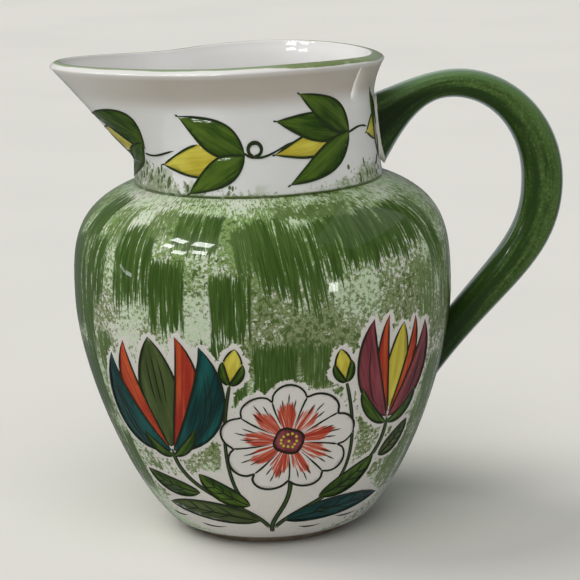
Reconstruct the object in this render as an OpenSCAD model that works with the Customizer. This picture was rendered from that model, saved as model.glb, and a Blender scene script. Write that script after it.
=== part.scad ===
// A round-bellied earthenware pitcher, built in the sections a potter makes and lutes together:
// a belly with its floor, a turned foot ring, a neck drawn out into a spout, and a handle.
// Millimetres, +Z up. The origin is on the jug's axis, on the surface that it stands on.
// The spout points along -X and the handle along +X.

/* [Whole jug] */
// Height from the table to the top of the lip over the handle
jug_h = 205; // [195:1:225]
// Height of the corner where the neck stands on the shoulder
shoulder_h = 153; // [147:1:158]
// Thickness of the clay wall
wall = 5; // [4:0.25:6]

/* [Belly] */
// Radius at the widest point
belly_r = 82; // [76:1:92]
// Height of the widest point
belly_mid_h = 105; // [96:1:110]
// Radius of the flat underside, up to its rounded corner
base_r = 39.5; // [34:0.5:45]
// Radius of the rounded corner between the underside and the side
base_corner_r = 9.7; // [7:0.1:14]
// Slope of the side where it leaves that corner, in degrees from level
base_lean = 47; // [42:1:56]
// Slope of the shoulder where it meets the neck, in degrees from level
shoulder_slope = 18.5; // [12:0.5:28]
// Thickness of the floor
floor_t = 6; // [5:0.5:9]

/* [Foot ring] */
// Height of the foot ring under the belly
foot_h = 3; // [2:0.25:5]
// Width of the foot ring
foot_w = 7; // [5:0.5:10]
// How far the foot ring is set in from the edge of the flat underside
foot_inset = 1; // [0:0.25:3]
// Rounding of the foot ring's lower edges
foot_round = 1; // [0.5:0.25:1.5]

/* [Neck and spout] */
// Outer radius where the neck stands on the shoulder
neck_base_r = 53.6; // [52:0.2:58]
// Outer radius of the neck's waist, its narrowest place
neck_waist_r = 50.7; // [46:0.1:52]
// Height of the waist
neck_waist_h = 187; // [175:1:192]
// Outer radius of the round part of the lip
lip_r = 55.4; // [53:0.2:60]
// Thickness of the round part of the lip
lip_t = 5.8; // [5:0.2:7]
// Thickness of the lip at the spout's tip
tip_t = 4.5; // [3.5:0.25:6]
// How much higher the lip's inner edge is than its outer edge
lip_slope_h = 1.6; // [0:0.2:2.6]
// How much higher the lip stands at the jug's two sides than over the handle
side_rise = 1.6; // [0:0.2:4]
// How far the spout's tip stands out past the round lip
spout_reach = 31.5; // [20:0.1:40]
// How much higher the spout's tip is than the lip over the handle
tip_rise = 1.8; // [0:0.2:6]
// Height where the spout starts to lean out from the neck
spout_start_h = 163; // [156:1:175]
// Angle from the middle of the spout to each side where it joins the round lip
spout_side_angle = 62; // [48:1:75]

/* [Handle] */
// How far the middle of the grip stands out past the belly
handle_reach = 42.8; // [34:0.2:52]
// Height of the middle of the handle at its top
handle_top_h = 189.5; // [182:0.5:196]
// Distance from the jug's axis to the handle's top
handle_top_x = 85.5; // [78:0.5:92]
// Height of the handle's furthest point
handle_side_h = 146; // [136:1:152]
// Height on the jug's neck from which the handle springs
handle_root_h = 169.6; // [162:0.2:174]
// Height on the belly that the handle runs down to
handle_foot_h = 52.7; // [44:0.5:66]
// Thickness of the handle at its top, seen from the side
handle_top_t = 11.3; // [9:0.1:15]
// Thickness of the grip, seen from the side
handle_grip_t = 18.2; // [14:0.2:22]
// Thickness of the handle at its lower end, seen from the side
handle_foot_t = 13.1; // [10:0.1:17]
// Width of the handle across the jug
handle_w = 17; // [13:0.5:22]
// How much thicker the handle grows at its root on the neck
root_flare_t = 21.7; // [14:0.2:26]
// How much wider the handle grows at its root on the neck
root_flare_w = 6; // [0:0.5:10]

/* [Fineness] */
// Points round the corner between the underside and the belly's side
corner_steps = 8; // [5:1:12]
// Points along each curve of the belly
belly_steps = 22; // [16:1:30]
// Facets round the neck and spout
neck_sides = 90; // [72:6:120]
// Rings up the outside of the neck, and again down its inside
neck_rings = 15; // [12:1:20]
// Steps round the lip
lip_steps = 6; // [4:1:8]
// Rings along each of the handle's three curves
handle_rings = 18; // [12:1:24]
// Facets round the handle
handle_sides = 28; // [20:4:36]

/* [Hidden] */
$fn = 96;

// Belly: how hard each curve of the outline pulls on its ends, and the height of the floor inside
side_pull = 24.9;
waistline_pull_down = 29.9;
waistline_pull_up = 24.4;
shoulder_pull = 28.5;
belly_floor_h = foot_h + floor_t;

// Neck: how high the lip's sloping top is rounded, the height that leaves for its outer edge,
// and the bore where the neck starts
lip_round = 1.3;
lip_h = jug_h - norm([lip_round, lip_slope_h / 2]) - lip_slope_h / 2;
neck_base_inner_r = neck_base_r - wall;
// Angle from the handle to each side where the lip is back at its height over the handle
side_rise_angle = 146;
// The spout narrows with this power of a cosine
spout_sharpness = 3;
// Height over which the throat bends from upright to its straight slope
throat_bend = 3;

// Handle: each end starts inside the wall and is trimmed to the outside of the jug
root_sink = 6.3;
foot_sink = 9.2;
root_angle = 35;
foot_angle = 55;
root_pull = 17.5;
top_pull_in = 15.5;
top_pull_out = 21;
side_pull_up = 24.8;
side_pull_down = 35.4;
foot_pull = 62.2;
// Shares of the handle's run where its thickness starts and stops changing
root_flare_share = 0.19;
thickening_shares = [0.12, 0.52];
thinning_shares = [0.46, 0.97];
// How square the handle's oval is: 2 is an ellipse
handle_oval = 2.3;

// Small overrun that lets a cut pass clear through a face
cut_over = 1;

// Points on curves

function bezier(a, b, c, d, t) =
    pow(1 - t, 3) * a + 3 * pow(1 - t, 2) * t * b + 3 * (1 - t) * t * t * c + pow(t, 3) * d;

function bezier_run(a, b, c, d, steps, first = 0) =
    [for (i = [first:steps]) bezier(a, b, c, d, i / steps)];

function smooth(from, to, x) =
    let (t = max(0, min(1, (x - from) / (to - from))))
    t * t * (3 - 2 * t);

function unit(v) = v / norm(v);

// Unit vector along a run of points, at point i
function along(pts, i) = unit(pts[min(i + 1, len(pts) - 1)] - pts[max(i - 1, 0)]);

// The same run moved to its left by d
function beside(pts, d) =
    [for (i = [0:len(pts) - 1]) let (u = along(pts, i)) pts[i] + d * [-u[1], u[0]]];

// Belly

base_corner_mid = [base_r, foot_h + base_corner_r];
side_start = base_corner_mid + base_corner_r * [sin(base_lean), -cos(base_lean)];
waistline = [belly_r, belly_mid_h];
shoulder_top = [neck_base_r, shoulder_h];

// Outer profile as [radius, height], from the underside up to the neck
belly_outline = concat(
    [for (i = [0:corner_steps - 1])
        let (a = base_lean * i / corner_steps)
        base_corner_mid + base_corner_r * [sin(a), -cos(a)]],
    bezier_run(side_start, side_start + side_pull * [cos(base_lean), sin(base_lean)],
        waistline - [0, waistline_pull_down], waistline, belly_steps),
    bezier_run(waistline, waistline + [0, waistline_pull_up],
        shoulder_top + shoulder_pull * [cos(shoulder_slope), -sin(shoulder_slope)],
        shoulder_top, belly_steps, 1)
);

belly_lining = beside(belly_outline, wall);

// Radius of the belly's outside at a height
function belly_radius(h) = lookup(h, [for (p = belly_outline) [p[1], p[0]]]);

module belly_blank_profile() {
    polygon(concat([[0, foot_h]], belly_outline, [[0, shoulder_h]]));
}

module belly_hollow_profile() {
    lining_top_h = belly_lining[len(belly_lining) - 1][1];
    intersection() {
        polygon(concat([[0, foot_h]], belly_lining, [[0, lining_top_h]]));
        translate([0, belly_floor_h])
            square([belly_r, shoulder_h]);
    }
    translate([0, lining_top_h - cut_over])
        square([neck_base_inner_r, shoulder_h - lining_top_h + 2 * cut_over]);
}

module belly() {
    color("seagreen")
    rotate_extrude()
    difference() {
        belly_blank_profile();
        belly_hollow_profile();
    }
}

// Foot ring, seated on the underside

foot_outer_r = base_r - foot_inset;
foot_inner_r = foot_outer_r - foot_w;

module foot_ring() {
    color("tan")
    rotate_extrude()
    translate([foot_inner_r, 0]) {
        translate([0, foot_round])
            square([foot_w, foot_h - foot_round]);
        translate([foot_round, 0])
            square([foot_w - 2 * foot_round, foot_h]);
        translate([foot_round, foot_round])
            circle(foot_round);
        translate([foot_w - foot_round, foot_round])
            circle(foot_round);
    }
}

// Neck and spout, lofted through level rings

// Outer radius of the round neck at a height: one bend below the waist, one above
function neck_radius(h) =
    h < neck_waist_h
    ? neck_waist_r + (neck_base_r - neck_waist_r)
        * pow((neck_waist_h - h) / (neck_waist_h - shoulder_h), 2)
    : neck_waist_r + (lip_r - neck_waist_r)
        * pow((h - neck_waist_h) / (lip_h - neck_waist_h), 2);

// Outward run of the throat above its start: a parabola, then a straight slope
function throat_run(h) =
    let (rise = max(0, h - spout_start_h))
    rise < throat_bend ? rise * rise / (2 * throat_bend) : rise - throat_bend / 2;

// How far the middle of the spout stands out from the round neck at a height
function spout_depth(h) =
    neck_base_r - neck_radius(h)
    + (lip_r + spout_reach - neck_base_r) * throat_run(h) / throat_run(lip_h);

// Share of that depth at an angle from the middle of the spout
function spout_share(a) =
    a < spout_side_angle ? pow(cos(90 * a / spout_side_angle), spout_sharpness) : 0;

function neck_side_share(i) = spout_share(abs(180 - 360 * i / neck_sides));

// Share of the lip's rise at an angle from the handle
function side_share(a) = a < side_rise_angle ? pow(sin(180 * a / side_rise_angle), 2) : 0;

function neck_point(i, h) =
    let (a = 360 * i / neck_sides)
    (neck_radius(h) + spout_depth(h) * neck_side_share(i)) * [cos(a), sin(a)];

// How far the lip is lifted at its tip and its sides, for the outline at a height
function lift(i, h) =
    smooth(spout_start_h, lip_h, h)
    * (tip_rise * neck_side_share(i)
        + side_rise * side_share(180 - abs(180 - 360 * i / neck_sides)));

// The neck's outline at a height, moved up to z and inwards square to itself:
// by d on the round neck, which changes to tip_d at the spout's tip
function neck_ring(h, z, d, tip_d) =
    [for (i = [0:neck_sides - 1])
        let (
            u = unit(neck_point(i + 1, h) - neck_point(i - 1, h)),
            p = neck_point(i, h) + (d + (tip_d - d) * neck_side_share(i)) * [-u[1], u[0]]
        )
        [p[0], p[1], z + lift(i, h)]];

function neck_level(k) = shoulder_h + (lip_h - shoulder_h) * k / neck_rings;

// Share of the way from the wall to the lip, which starts at the waist
function lip_share(h) = smooth(neck_waist_h, lip_h, h);

neck_points = concat(
    [for (k = [0:neck_rings]) each neck_ring(neck_level(k), neck_level(k), 0, 0)],
    [for (k = [1:lip_steps - 1])
        let (a = 180 * k / lip_steps, across = (1 - cos(a)) / 2)
        each neck_ring(lip_h, lip_h + lip_round * sin(a) + lip_slope_h * across,
            lip_t * across, tip_t * across)],
    [for (k = [neck_rings:-1:0])
        let (h = neck_level(k), share = lip_share(h))
        each neck_ring(h, h + lip_slope_h * share,
            wall + (lip_t - wall) * share, wall + (tip_t - wall) * share)]
);

// Faces that join each ring to the next, the last ring to the first where it closes on itself
function loft_faces(sides, rings, closed) =
    [for (k = [0:rings - (closed ? 1 : 2)]) for (i = [0:sides - 1])
        let (
            a = k * sides + i,
            b = k * sides + (i + 1) % sides,
            c = ((k + 1) % rings) * sides + (i + 1) % sides,
            d = ((k + 1) % rings) * sides + i
        )
        each [[a, c, b], [a, d, c]]];

module neck_and_spout() {
    neck_ring_count = len(neck_points) / neck_sides;
    color("ivory")
    polyhedron(neck_points, loft_faces(neck_sides, neck_ring_count, true));
}

// The round neck as a solid, to trim the handle against
module neck_blank() {
    rotate_extrude()
    polygon(concat(
        [[0, shoulder_h]],
        [for (k = [0:neck_rings]) [neck_radius(neck_level(k)), neck_level(k)]],
        [[0, lip_h]]
    ));
}

// Handle, an oval swept along three curves in the plane of the spout

root_start = [neck_radius(handle_root_h) - root_sink, handle_root_h];
handle_top = [handle_top_x, handle_top_h];
handle_side = [belly_r + handle_reach, handle_side_h];
foot_end = [belly_radius(handle_foot_h) - foot_sink, handle_foot_h];

handle_path = concat(
    bezier_run(root_start, root_start + root_pull * [cos(root_angle), sin(root_angle)],
        handle_top - [top_pull_in, 0], handle_top, handle_rings),
    bezier_run(handle_top, handle_top + [top_pull_out, 0],
        handle_side + [0, side_pull_up], handle_side, handle_rings, 1),
    bezier_run(handle_side, handle_side - [0, side_pull_down],
        foot_end + foot_pull * [cos(foot_angle), sin(foot_angle)], foot_end, handle_rings, 1)
);

handle_count = len(handle_path);

// Length of the handle's run up to each of its rings
handle_run = [
    for (i = 0, run = 0; i < handle_count;
        i = i + 1, run = run + (i < handle_count ? norm(handle_path[i] - handle_path[i - 1]) : 0))
        run
];

function root_flare(s) = pow(max(0, 1 - s / root_flare_share), 2);

function handle_thickness(s) =
    handle_top_t
    + (handle_grip_t - handle_top_t) * smooth(thickening_shares[0], thickening_shares[1], s)
    + (handle_foot_t - handle_grip_t) * smooth(thinning_shares[0], thinning_shares[1], s)
    + root_flare_t * root_flare(s);

function handle_width(s) = handle_w + root_flare_w * root_flare(s);

function oval(v) = sign(v) * pow(abs(v), 2 / handle_oval);

handle_points = [
    for (k = [0:handle_count - 1])
        let (
            s = handle_run[k] / handle_run[handle_count - 1],
            u = along(handle_path, k),
            t = handle_thickness(s) / 2,
            w = handle_width(s) / 2
        )
        for (i = [0:handle_sides - 1])
            let (
                a = 360 * i / handle_sides,
                p = handle_path[k] + t * oval(cos(a)) * [-u[1], u[0]]
            )
            [p[0], -w * oval(sin(a)), p[1]]
];

handle_end_caps = [
    [for (i = [0:handle_sides - 1]) i],
    [for (i = [handle_sides - 1:-1:0]) (handle_count - 1) * handle_sides + i]
];

module handle() {
    color("darkgreen")
    difference() {
        polyhedron(handle_points,
            concat(loft_faces(handle_sides, handle_count, false), handle_end_caps));
        rotate_extrude()
            belly_blank_profile();
        neck_blank();
    }
}

belly();
foot_ring();
neck_and_spout();
handle();
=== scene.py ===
import math
import bpy
import numpy as np
from mathutils import Matrix, Vector, geometry


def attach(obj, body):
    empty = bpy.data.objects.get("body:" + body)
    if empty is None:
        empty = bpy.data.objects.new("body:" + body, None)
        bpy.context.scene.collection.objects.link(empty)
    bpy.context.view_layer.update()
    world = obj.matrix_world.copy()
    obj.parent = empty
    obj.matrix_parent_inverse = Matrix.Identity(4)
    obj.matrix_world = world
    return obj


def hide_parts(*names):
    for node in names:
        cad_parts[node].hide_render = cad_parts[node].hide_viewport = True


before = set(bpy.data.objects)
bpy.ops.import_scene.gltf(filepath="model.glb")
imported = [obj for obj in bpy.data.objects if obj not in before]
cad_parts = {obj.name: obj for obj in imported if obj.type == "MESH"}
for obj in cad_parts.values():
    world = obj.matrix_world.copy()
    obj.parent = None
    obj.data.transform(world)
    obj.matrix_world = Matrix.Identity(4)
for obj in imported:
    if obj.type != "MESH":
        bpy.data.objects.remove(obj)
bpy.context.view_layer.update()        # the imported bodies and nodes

mm = 0.001               # shapes are worked out in millimetres, meshes are in metres
curveStep = 0.5          # mm between the points of a traced curve
nudge = 0.2              # degrees or mm, for the slope of a surface at a place
chance = np.random.default_rng(11)


def addObject(name, data):
    made = bpy.data.objects.new(name, data)
    bpy.context.scene.collection.objects.link(made)
    return made


# Camera, fitted to the outlines in the photograph

camera = {
    "away": 835, "height": 295.2,                      # mm from the jug's axis, and above the table
    "pitch": 13.02, "yaw": 0.80, "roll": 2.06,         # degrees
    "turn": 5.0,                                       # how far the jug is turned from square to the view
    "focal": 1955, "picture": 580, "sensor": 36}       # pixels, pixels, mm


def addCamera(c):
    pitch, yaw, roll = (math.radians(c[k]) for k in ("pitch", "yaw", "roll"))
    ahead = Vector((math.sin(yaw) * math.cos(pitch), math.cos(yaw) * math.cos(pitch), -math.sin(pitch)))
    levelRight = Vector((math.cos(yaw), -math.sin(yaw), 0))
    levelUp = levelRight.cross(ahead)
    right = math.cos(roll) * levelRight - math.sin(roll) * levelUp
    up = math.sin(roll) * levelRight + math.cos(roll) * levelUp
    pose = Matrix((right, up, -ahead)).transposed().to_4x4()
    pose.translation = Vector((0, -c["away"], c["height"])) * mm
    data = bpy.data.cameras.new("view")
    data.sensor_width = c["sensor"]
    data.lens = c["focal"] * c["sensor"] / c["picture"]
    eye = addObject("view", data)
    eye.matrix_world = Matrix.Rotation(-math.radians(c["turn"]), 4, "Z") @ pose
    bpy.context.scene.camera = eye
    return eye


eye = addCamera(camera)


# Curves and surfaces

def smooth(low, high, x):
    t = np.clip((np.asarray(x, float) - low) / (high - low), 0, 1)
    return t * t * (3 - 2 * t)


def bezier(a, b, c, d, count=24):
    t = np.linspace(0, 1, count)[:, None]
    a, b, c, d = (np.asarray(p, float) for p in (a, b, c, d))
    return (1 - t) ** 3 * a + 3 * (1 - t) ** 2 * t * b + 3 * (1 - t) * t * t * c + t ** 3 * d


def heading(degrees):
    return np.array([math.cos(math.radians(degrees)), math.sin(math.radians(degrees))])


def runAlong(points):
    return np.concatenate([[0], np.cumsum(np.linalg.norm(np.diff(points, axis=0), axis=1))])


def resample(points, step):
    points = np.asarray(points, float)
    run = runAlong(points)
    at = np.linspace(0, run[-1], max(2, int(round(run[-1] / step)) + 1))
    return np.column_stack([np.interp(at, run, points[:, k]) for k in range(points.shape[1])])


def unit(v):
    return v / np.maximum(np.linalg.norm(v, axis=-1, keepdims=True), 1e-12)


def wrapTurn(turn):
    return (turn + 180) % 360 - 180


# A place on the jug is a turn in degrees from its front (-Y), positive towards the handle, and a height
# or, on the belly, a run along the outline from the underside.

bellyForm = {
    "radius": 82, "midHeight": 105, "baseRadius": 39.5, "cornerRadius": 9.7, "lean": 47,
    "neckRadius": 53.6, "shoulderHeight": 153, "shoulderSlope": 18.5,
    "sidePull": 24.9, "waistPullDown": 29.9, "waistPullUp": 24.4, "shoulderPull": 28.5,
    "footHeight": 3, "floor": 6, "wall": 5, "floorCurb": 1,
    "pole": 6, "underInset": 4, "underRings": 6, "floorInset": 1.5, "floorRings": 9,
    "ringStep": 2.1, "liningStep": 4, "columns": 240}


def bellyOutline(f):
    corner = np.array([f["baseRadius"], f["footHeight"] + f["cornerRadius"]])
    turns = np.radians(np.linspace(0, f["lean"], 12))
    foot = corner + f["cornerRadius"] * np.column_stack([np.sin(turns), -np.cos(turns)])
    waist = np.array([f["radius"], f["midHeight"]])
    top = np.array([f["neckRadius"], f["shoulderHeight"]])
    side = bezier(foot[-1], foot[-1] + f["sidePull"] * heading(f["lean"]),
                  waist - [0, f["waistPullDown"]], waist, 120)
    shoulder = bezier(waist, waist + [0, f["waistPullUp"]],
                      top + f["shoulderPull"] * heading(-f["shoulderSlope"]), top, 120)
    return resample(np.concatenate([foot, side[1:], shoulder[1:]]), curveStep)


outline = bellyOutline(bellyForm)
outlineRun = runAlong(outline)
outlineAhead = unit(np.gradient(outline, axis=0))
outlineOut = np.column_stack([outlineAhead[:, 1], -outlineAhead[:, 0]])


def radiusAt(run):
    return np.interp(run, outlineRun, outline[:, 0])


def heightAt(run):
    return np.interp(run, outlineRun, outline[:, 1])


def runAtHeight(height):
    return np.interp(height, outline[:, 1], outlineRun)


def round3d(turn, radius, height):
    a = np.radians(turn)
    return np.stack([radius * np.sin(a), -radius * np.cos(a), height + 0 * a], -1)


def onBelly(turn, run, lift=0):
    out = [np.interp(run, outlineRun, outlineOut[:, k]) for k in (0, 1)]
    return round3d(turn, radiusAt(run) + lift * out[0], heightAt(run) + lift * out[1])


neckForm = {
    "baseRadius": bellyForm["neckRadius"], "baseHeight": bellyForm["shoulderHeight"],
    "waistRadius": 50.7, "waistHeight": 187, "lipRadius": 55.4, "top": 205, "lipRound": 1.3, "lipSlope": 1.6,
    "wall": 5, "lipWall": 5.8, "tipWall": 4.5,
    "spoutReach": 31.5, "spoutStart": 163, "spoutSide": 62, "spoutSharpness": 3, "throatBend": 3,
    "tipRise": 1.8, "sideRise": 1.6, "sideAngle": 146,
    "ringStep": 2, "lipRings": 14, "columns": 300}
neckForm["lipHeight"] = neckForm["top"] - neckForm["lipSlope"] / 2 - math.hypot(
    neckForm["lipRound"], neckForm["lipSlope"] / 2)


def neckRadius(h, f=neckForm):
    h = np.asarray(h, float)
    low = f["waistRadius"] + (f["baseRadius"] - f["waistRadius"]) * (
        (f["waistHeight"] - h) / (f["waistHeight"] - f["baseHeight"])) ** 2
    high = f["waistRadius"] + (f["lipRadius"] - f["waistRadius"]) * (
        (h - f["waistHeight"]) / (f["lipHeight"] - f["waistHeight"])) ** 2
    return np.where(h < f["waistHeight"], low, high)


def throatRun(h, f=neckForm):
    rise = np.maximum(0, np.asarray(h, float) - f["spoutStart"])
    bend = f["throatBend"]
    return np.where(rise < bend, rise * rise / (2 * bend), rise - bend / 2)


def spoutShare(turn, f=neckForm):
    away = np.abs(wrapTurn(turn + 90))
    lobe = np.where(away < f["spoutSide"], np.cos(np.radians(90 * away / f["spoutSide"])), 0)
    return lobe ** f["spoutSharpness"]


# The lip stands a little higher at the jug's two sides than over the handle
def sideShare(turn, f=neckForm):
    away = np.abs(wrapTurn(turn - 90))
    return np.where(away < f["sideAngle"], np.sin(np.radians(180 * away / f["sideAngle"])), 0) ** 2


def neckPoint(turn, h, inset=None, rise=0, f=neckForm):
    tip = f["lipRadius"] + f["spoutReach"]
    drawn = throatRun(h) / throatRun(f["lipHeight"])
    depth = f["baseRadius"] - neckRadius(h) + (tip - f["baseRadius"]) * drawn
    share = spoutShare(turn)
    lifted = f["tipRise"] * share + f["sideRise"] * sideShare(turn)
    z = h + rise + lifted * smooth(f["spoutStart"], f["lipHeight"], h)
    plan = round3d(turn, neckRadius(h) + depth * share, z)
    if inset is None:
        return plan
    ahead = neckPoint(turn + nudge, h) - neckPoint(turn - nudge, h)
    ahead[..., 2] = 0
    ahead = unit(ahead)
    out = np.stack([ahead[..., 1], -ahead[..., 0], 0 * ahead[..., 0]], -1)
    return plan - out * np.asarray(inset)[..., None]


def onNeck(turn, h, lift=0):
    across = neckPoint(turn + nudge, h) - neckPoint(turn - nudge, h)
    up = neckPoint(turn, h + nudge) - neckPoint(turn, h - nudge)
    return neckPoint(turn, h) + unit(np.cross(across, up)) * lift


# Meshes

def addMesh(name, points, edges=(), faces=()):
    mesh = bpy.data.meshes.new(name)
    mesh.from_pydata((np.asarray(points) * mm).tolist(), list(edges), [list(map(int, f)) for f in faces])
    return addObject(name, mesh)


def newPiece(name, points, faces, material, smoothFaces=None):
    piece = addMesh(name, points, faces=faces)
    soft = np.ones(len(faces), bool) if smoothFaces is None else smoothFaces
    piece.data.polygons.foreach_set("use_smooth", soft)
    piece.data.materials.append(material)
    return piece


def addValues(piece, name, values, domain="POINT"):
    values = np.asarray(values, np.float32)
    kind, field = ("FLOAT", "value") if values.ndim == 1 else ("FLOAT_VECTOR", "vector")
    piece.data.attributes.new(name, kind, domain).data.foreach_set(field, values.ravel())


def loftFaces(rings, columns):
    i, j = np.meshgrid(np.arange(rings - 1), np.arange(columns), indexing="ij")
    nextJ = (j + 1) % columns
    return np.stack([i * columns + j, i * columns + nextJ,
                     (i + 1) * columns + nextJ, (i + 1) * columns + j], -1).reshape(-1, 4)


# Rings lofted into a closed skin with a pole at each end: its points, and its faces with the caps last
def closedLoft(rings, poles):
    columns = len(rings[0])
    near = len(rings) * columns
    far, last = near + 1, near - columns
    faces = [list(q) for q in loftFaces(len(rings), columns)]
    for j in range(columns):
        k = (j + 1) % columns
        faces += [[near, k, j], [far, last + j, last + k]]
    return np.concatenate([*rings, poles]), faces


def finishPiece(piece, slot, *nodes):
    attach(piece, "root")
    if nodes:
        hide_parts(*nodes)
    print("made", piece.name, len(piece.data.polygons), "faces")
    return piece


# A socket to reckon with like a number: each sum adds a Math node

class Value:
    def __init__(self, finish, socket):
        self.finish, self.socket = finish, socket

    def __add__(self, other):
        return self.finish.calc("ADD", self, other)

    def __sub__(self, other):
        return self.finish.calc("SUBTRACT", self, other)

    def __rsub__(self, other):
        return self.finish.calc("SUBTRACT", other, self)

    def __mul__(self, other):
        return self.finish.calc("MULTIPLY", self, other)

    def __truediv__(self, other):
        return self.finish.calc("DIVIDE", self, other)

    def __pow__(self, other):
        return self.finish.calc("POWER", self, other)

    def __abs__(self):
        return self.finish.calc("ABSOLUTE", self)


# Clear glaze over softer paint: constants of the shader, the slow ripple of a fired surface
# (noise, and depth in metres), and how far the paint under it stands up
glazeCoat = {
    "Roughness": 0.32, "Specular IOR Level": 0.1,
    "Coat Weight": 0.7, "Coat Roughness": 0.035, "Coat IOR": 1.45}
glazeRipple = {"noise": (70, 1), "deep": 0.00006}
glazeRelief = {"deep": 0.00004, "strength": 0.6}


# A material and its nodes: each helper takes values or numbers and gives a value
class Finish:
    def __init__(self, name):
        self.material = bpy.data.materials.new(name)
        self.material.use_nodes = True
        self.tree = self.material.node_tree
        self.tree.nodes.clear()
        self.bsdf = self.tree.nodes.new("ShaderNodeBsdfPrincipled")
        output = self.tree.nodes.new("ShaderNodeOutputMaterial")
        self.tree.links.new(self.bsdf.outputs["BSDF"], output.inputs["Surface"])

    def feed(self, node, inputs):
        for key, value in inputs.items():
            if isinstance(value, Value):
                self.tree.links.new(value.socket, node.inputs[key])
            else:
                node.inputs[key].default_value = value

    def put(self, kind, inputs, *outputs, **settings):
        node = self.tree.nodes.new(kind)
        for key, value in settings.items():
            setattr(node, key, value)
        self.feed(node, inputs)
        given = [Value(self, node.outputs[key]) for key in outputs or (0,)]
        return given if len(given) > 1 else given[0]

    def calc(self, operation, *values):
        return self.put("ShaderNodeMath", dict(enumerate(values)), operation=operation)

    def step(self, value, low, high, a=0.0, b=1.0):
        return self.put("ShaderNodeMapRange", {"Value": value, "From Min": low, "From Max": high,
                        "To Min": a, "To Max": b}, interpolation_type="SMOOTHSTEP")

    def vector(self, x, y, z):
        return self.put("ShaderNodeCombineXYZ", {"X": x, "Y": y, "Z": z})

    def split(self, vector):
        return self.put("ShaderNodeSeparateXYZ", {"Vector": vector}, "X", "Y", "Z")

    def place(self):
        return self.put("ShaderNodeTexCoord", {}, "Object")

    def attribute(self, name, output="Fac"):
        return self.put("ShaderNodeAttribute", {}, output, attribute_name=name)

    def noise(self, vector, scale=1.0, detail=2.0, rough=0.5):
        return self.put("ShaderNodeTexNoise", {"Vector": vector, "Scale": scale, "Detail": detail,
                        "Roughness": rough}, "Fac")

    # Noise about zero, as wide in all as the size
    def drift(self, vector, size, *noise):
        return (self.noise(vector, *noise) - 0.5) * size

    def mix(self, factor, a, b):
        a, b = (c if isinstance(c, Value) else (*c, 1) for c in (a, b))
        return self.put("ShaderNodeMix", {"Factor": factor, 6: a, 7: b}, 2, data_type="RGBA")

    def bump(self, height, deep, strength=1.0, **under):
        return self.put("ShaderNodeBump", {"Height": height, "Distance": deep, "Strength": strength, **under})

    def surface(self, inputs):
        self.feed(self.bsdf, inputs)
        return self.material

    def glaze(self, colour, relief=None):
        ripple = self.bump(self.noise(self.place(), *glazeRipple["noise"]), glazeRipple["deep"])
        under = ripple
        if relief is not None:
            under = self.bump(relief, **glazeRelief, Normal=ripple)
        return self.surface({**glazeCoat, "Base Color": colour, "Coat Normal": ripple, "Normal": under})


# Colours, linear

paint = {
    # The lip's brighter white is painted light
    "white": (0.80, 0.78, 0.745), "shade": (0.77, 0.745, 0.70), "lip": (0.90, 0.895, 0.88),
    # The neck's darker tone under the lip is painted shade
    "neckWhite": (0.90, 0.91, 0.92), "neckShade": (0.88, 0.885, 0.88), "underLipShade": (0.545, 0.485, 0.425),
    "neckWash": (0.52, 0.58, 0.44), "neckSponge": (0.30, 0.37, 0.20), "neckDark": (0.10, 0.15, 0.04),
    "cornerLine": (0.11, 0.17, 0.040), "rimLine": (0.33, 0.43, 0.25), "rimDark": (0.21, 0.28, 0.105),
    "ground": (0.57, 0.73, 0.48), "spongeLight": (0.27, 0.41, 0.15), "sponge": (0.155, 0.26, 0.062),
    "oliveLight": (0.30, 0.37, 0.19), "olive": (0.165, 0.215, 0.080), "spongeDark": (0.095, 0.155, 0.035),
    "strokeDark": (0.037, 0.086, 0.008), "strokeMid": (0.083, 0.160, 0.028), "strokePale": (0.25, 0.35, 0.13),
    # Handle paint, with lighter colours for painted highlight and darker ones for painted shade
    "handleDark": (0.026, 0.064, 0.009), "handleMid": (0.078, 0.150, 0.028),
    "handleHighlightFleck": (0.16, 0.26, 0.09), "handleCrestHighlight": (0.155, 0.275, 0.110),
    "handleShade": (0.007, 0.020, 0.003), "handleRootShade": (0.007, 0.018, 0.001),
    "daisyRed": (0.62, 0.13, 0.07), "daisyDeep": (0.45, 0.040, 0.018),
    "clay": (0.42, 0.33, 0.24), "clayStain": (0.28, 0.20, 0.14), "clayGrit": (0.20, 0.14, 0.10)}


# Broad dry-brush strokes on the belly: turn, lowest and highest run, width, lean and paleness 0 to 9.
# The lean is how far the foot of the stroke swings towards the handle, in degrees.

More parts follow.
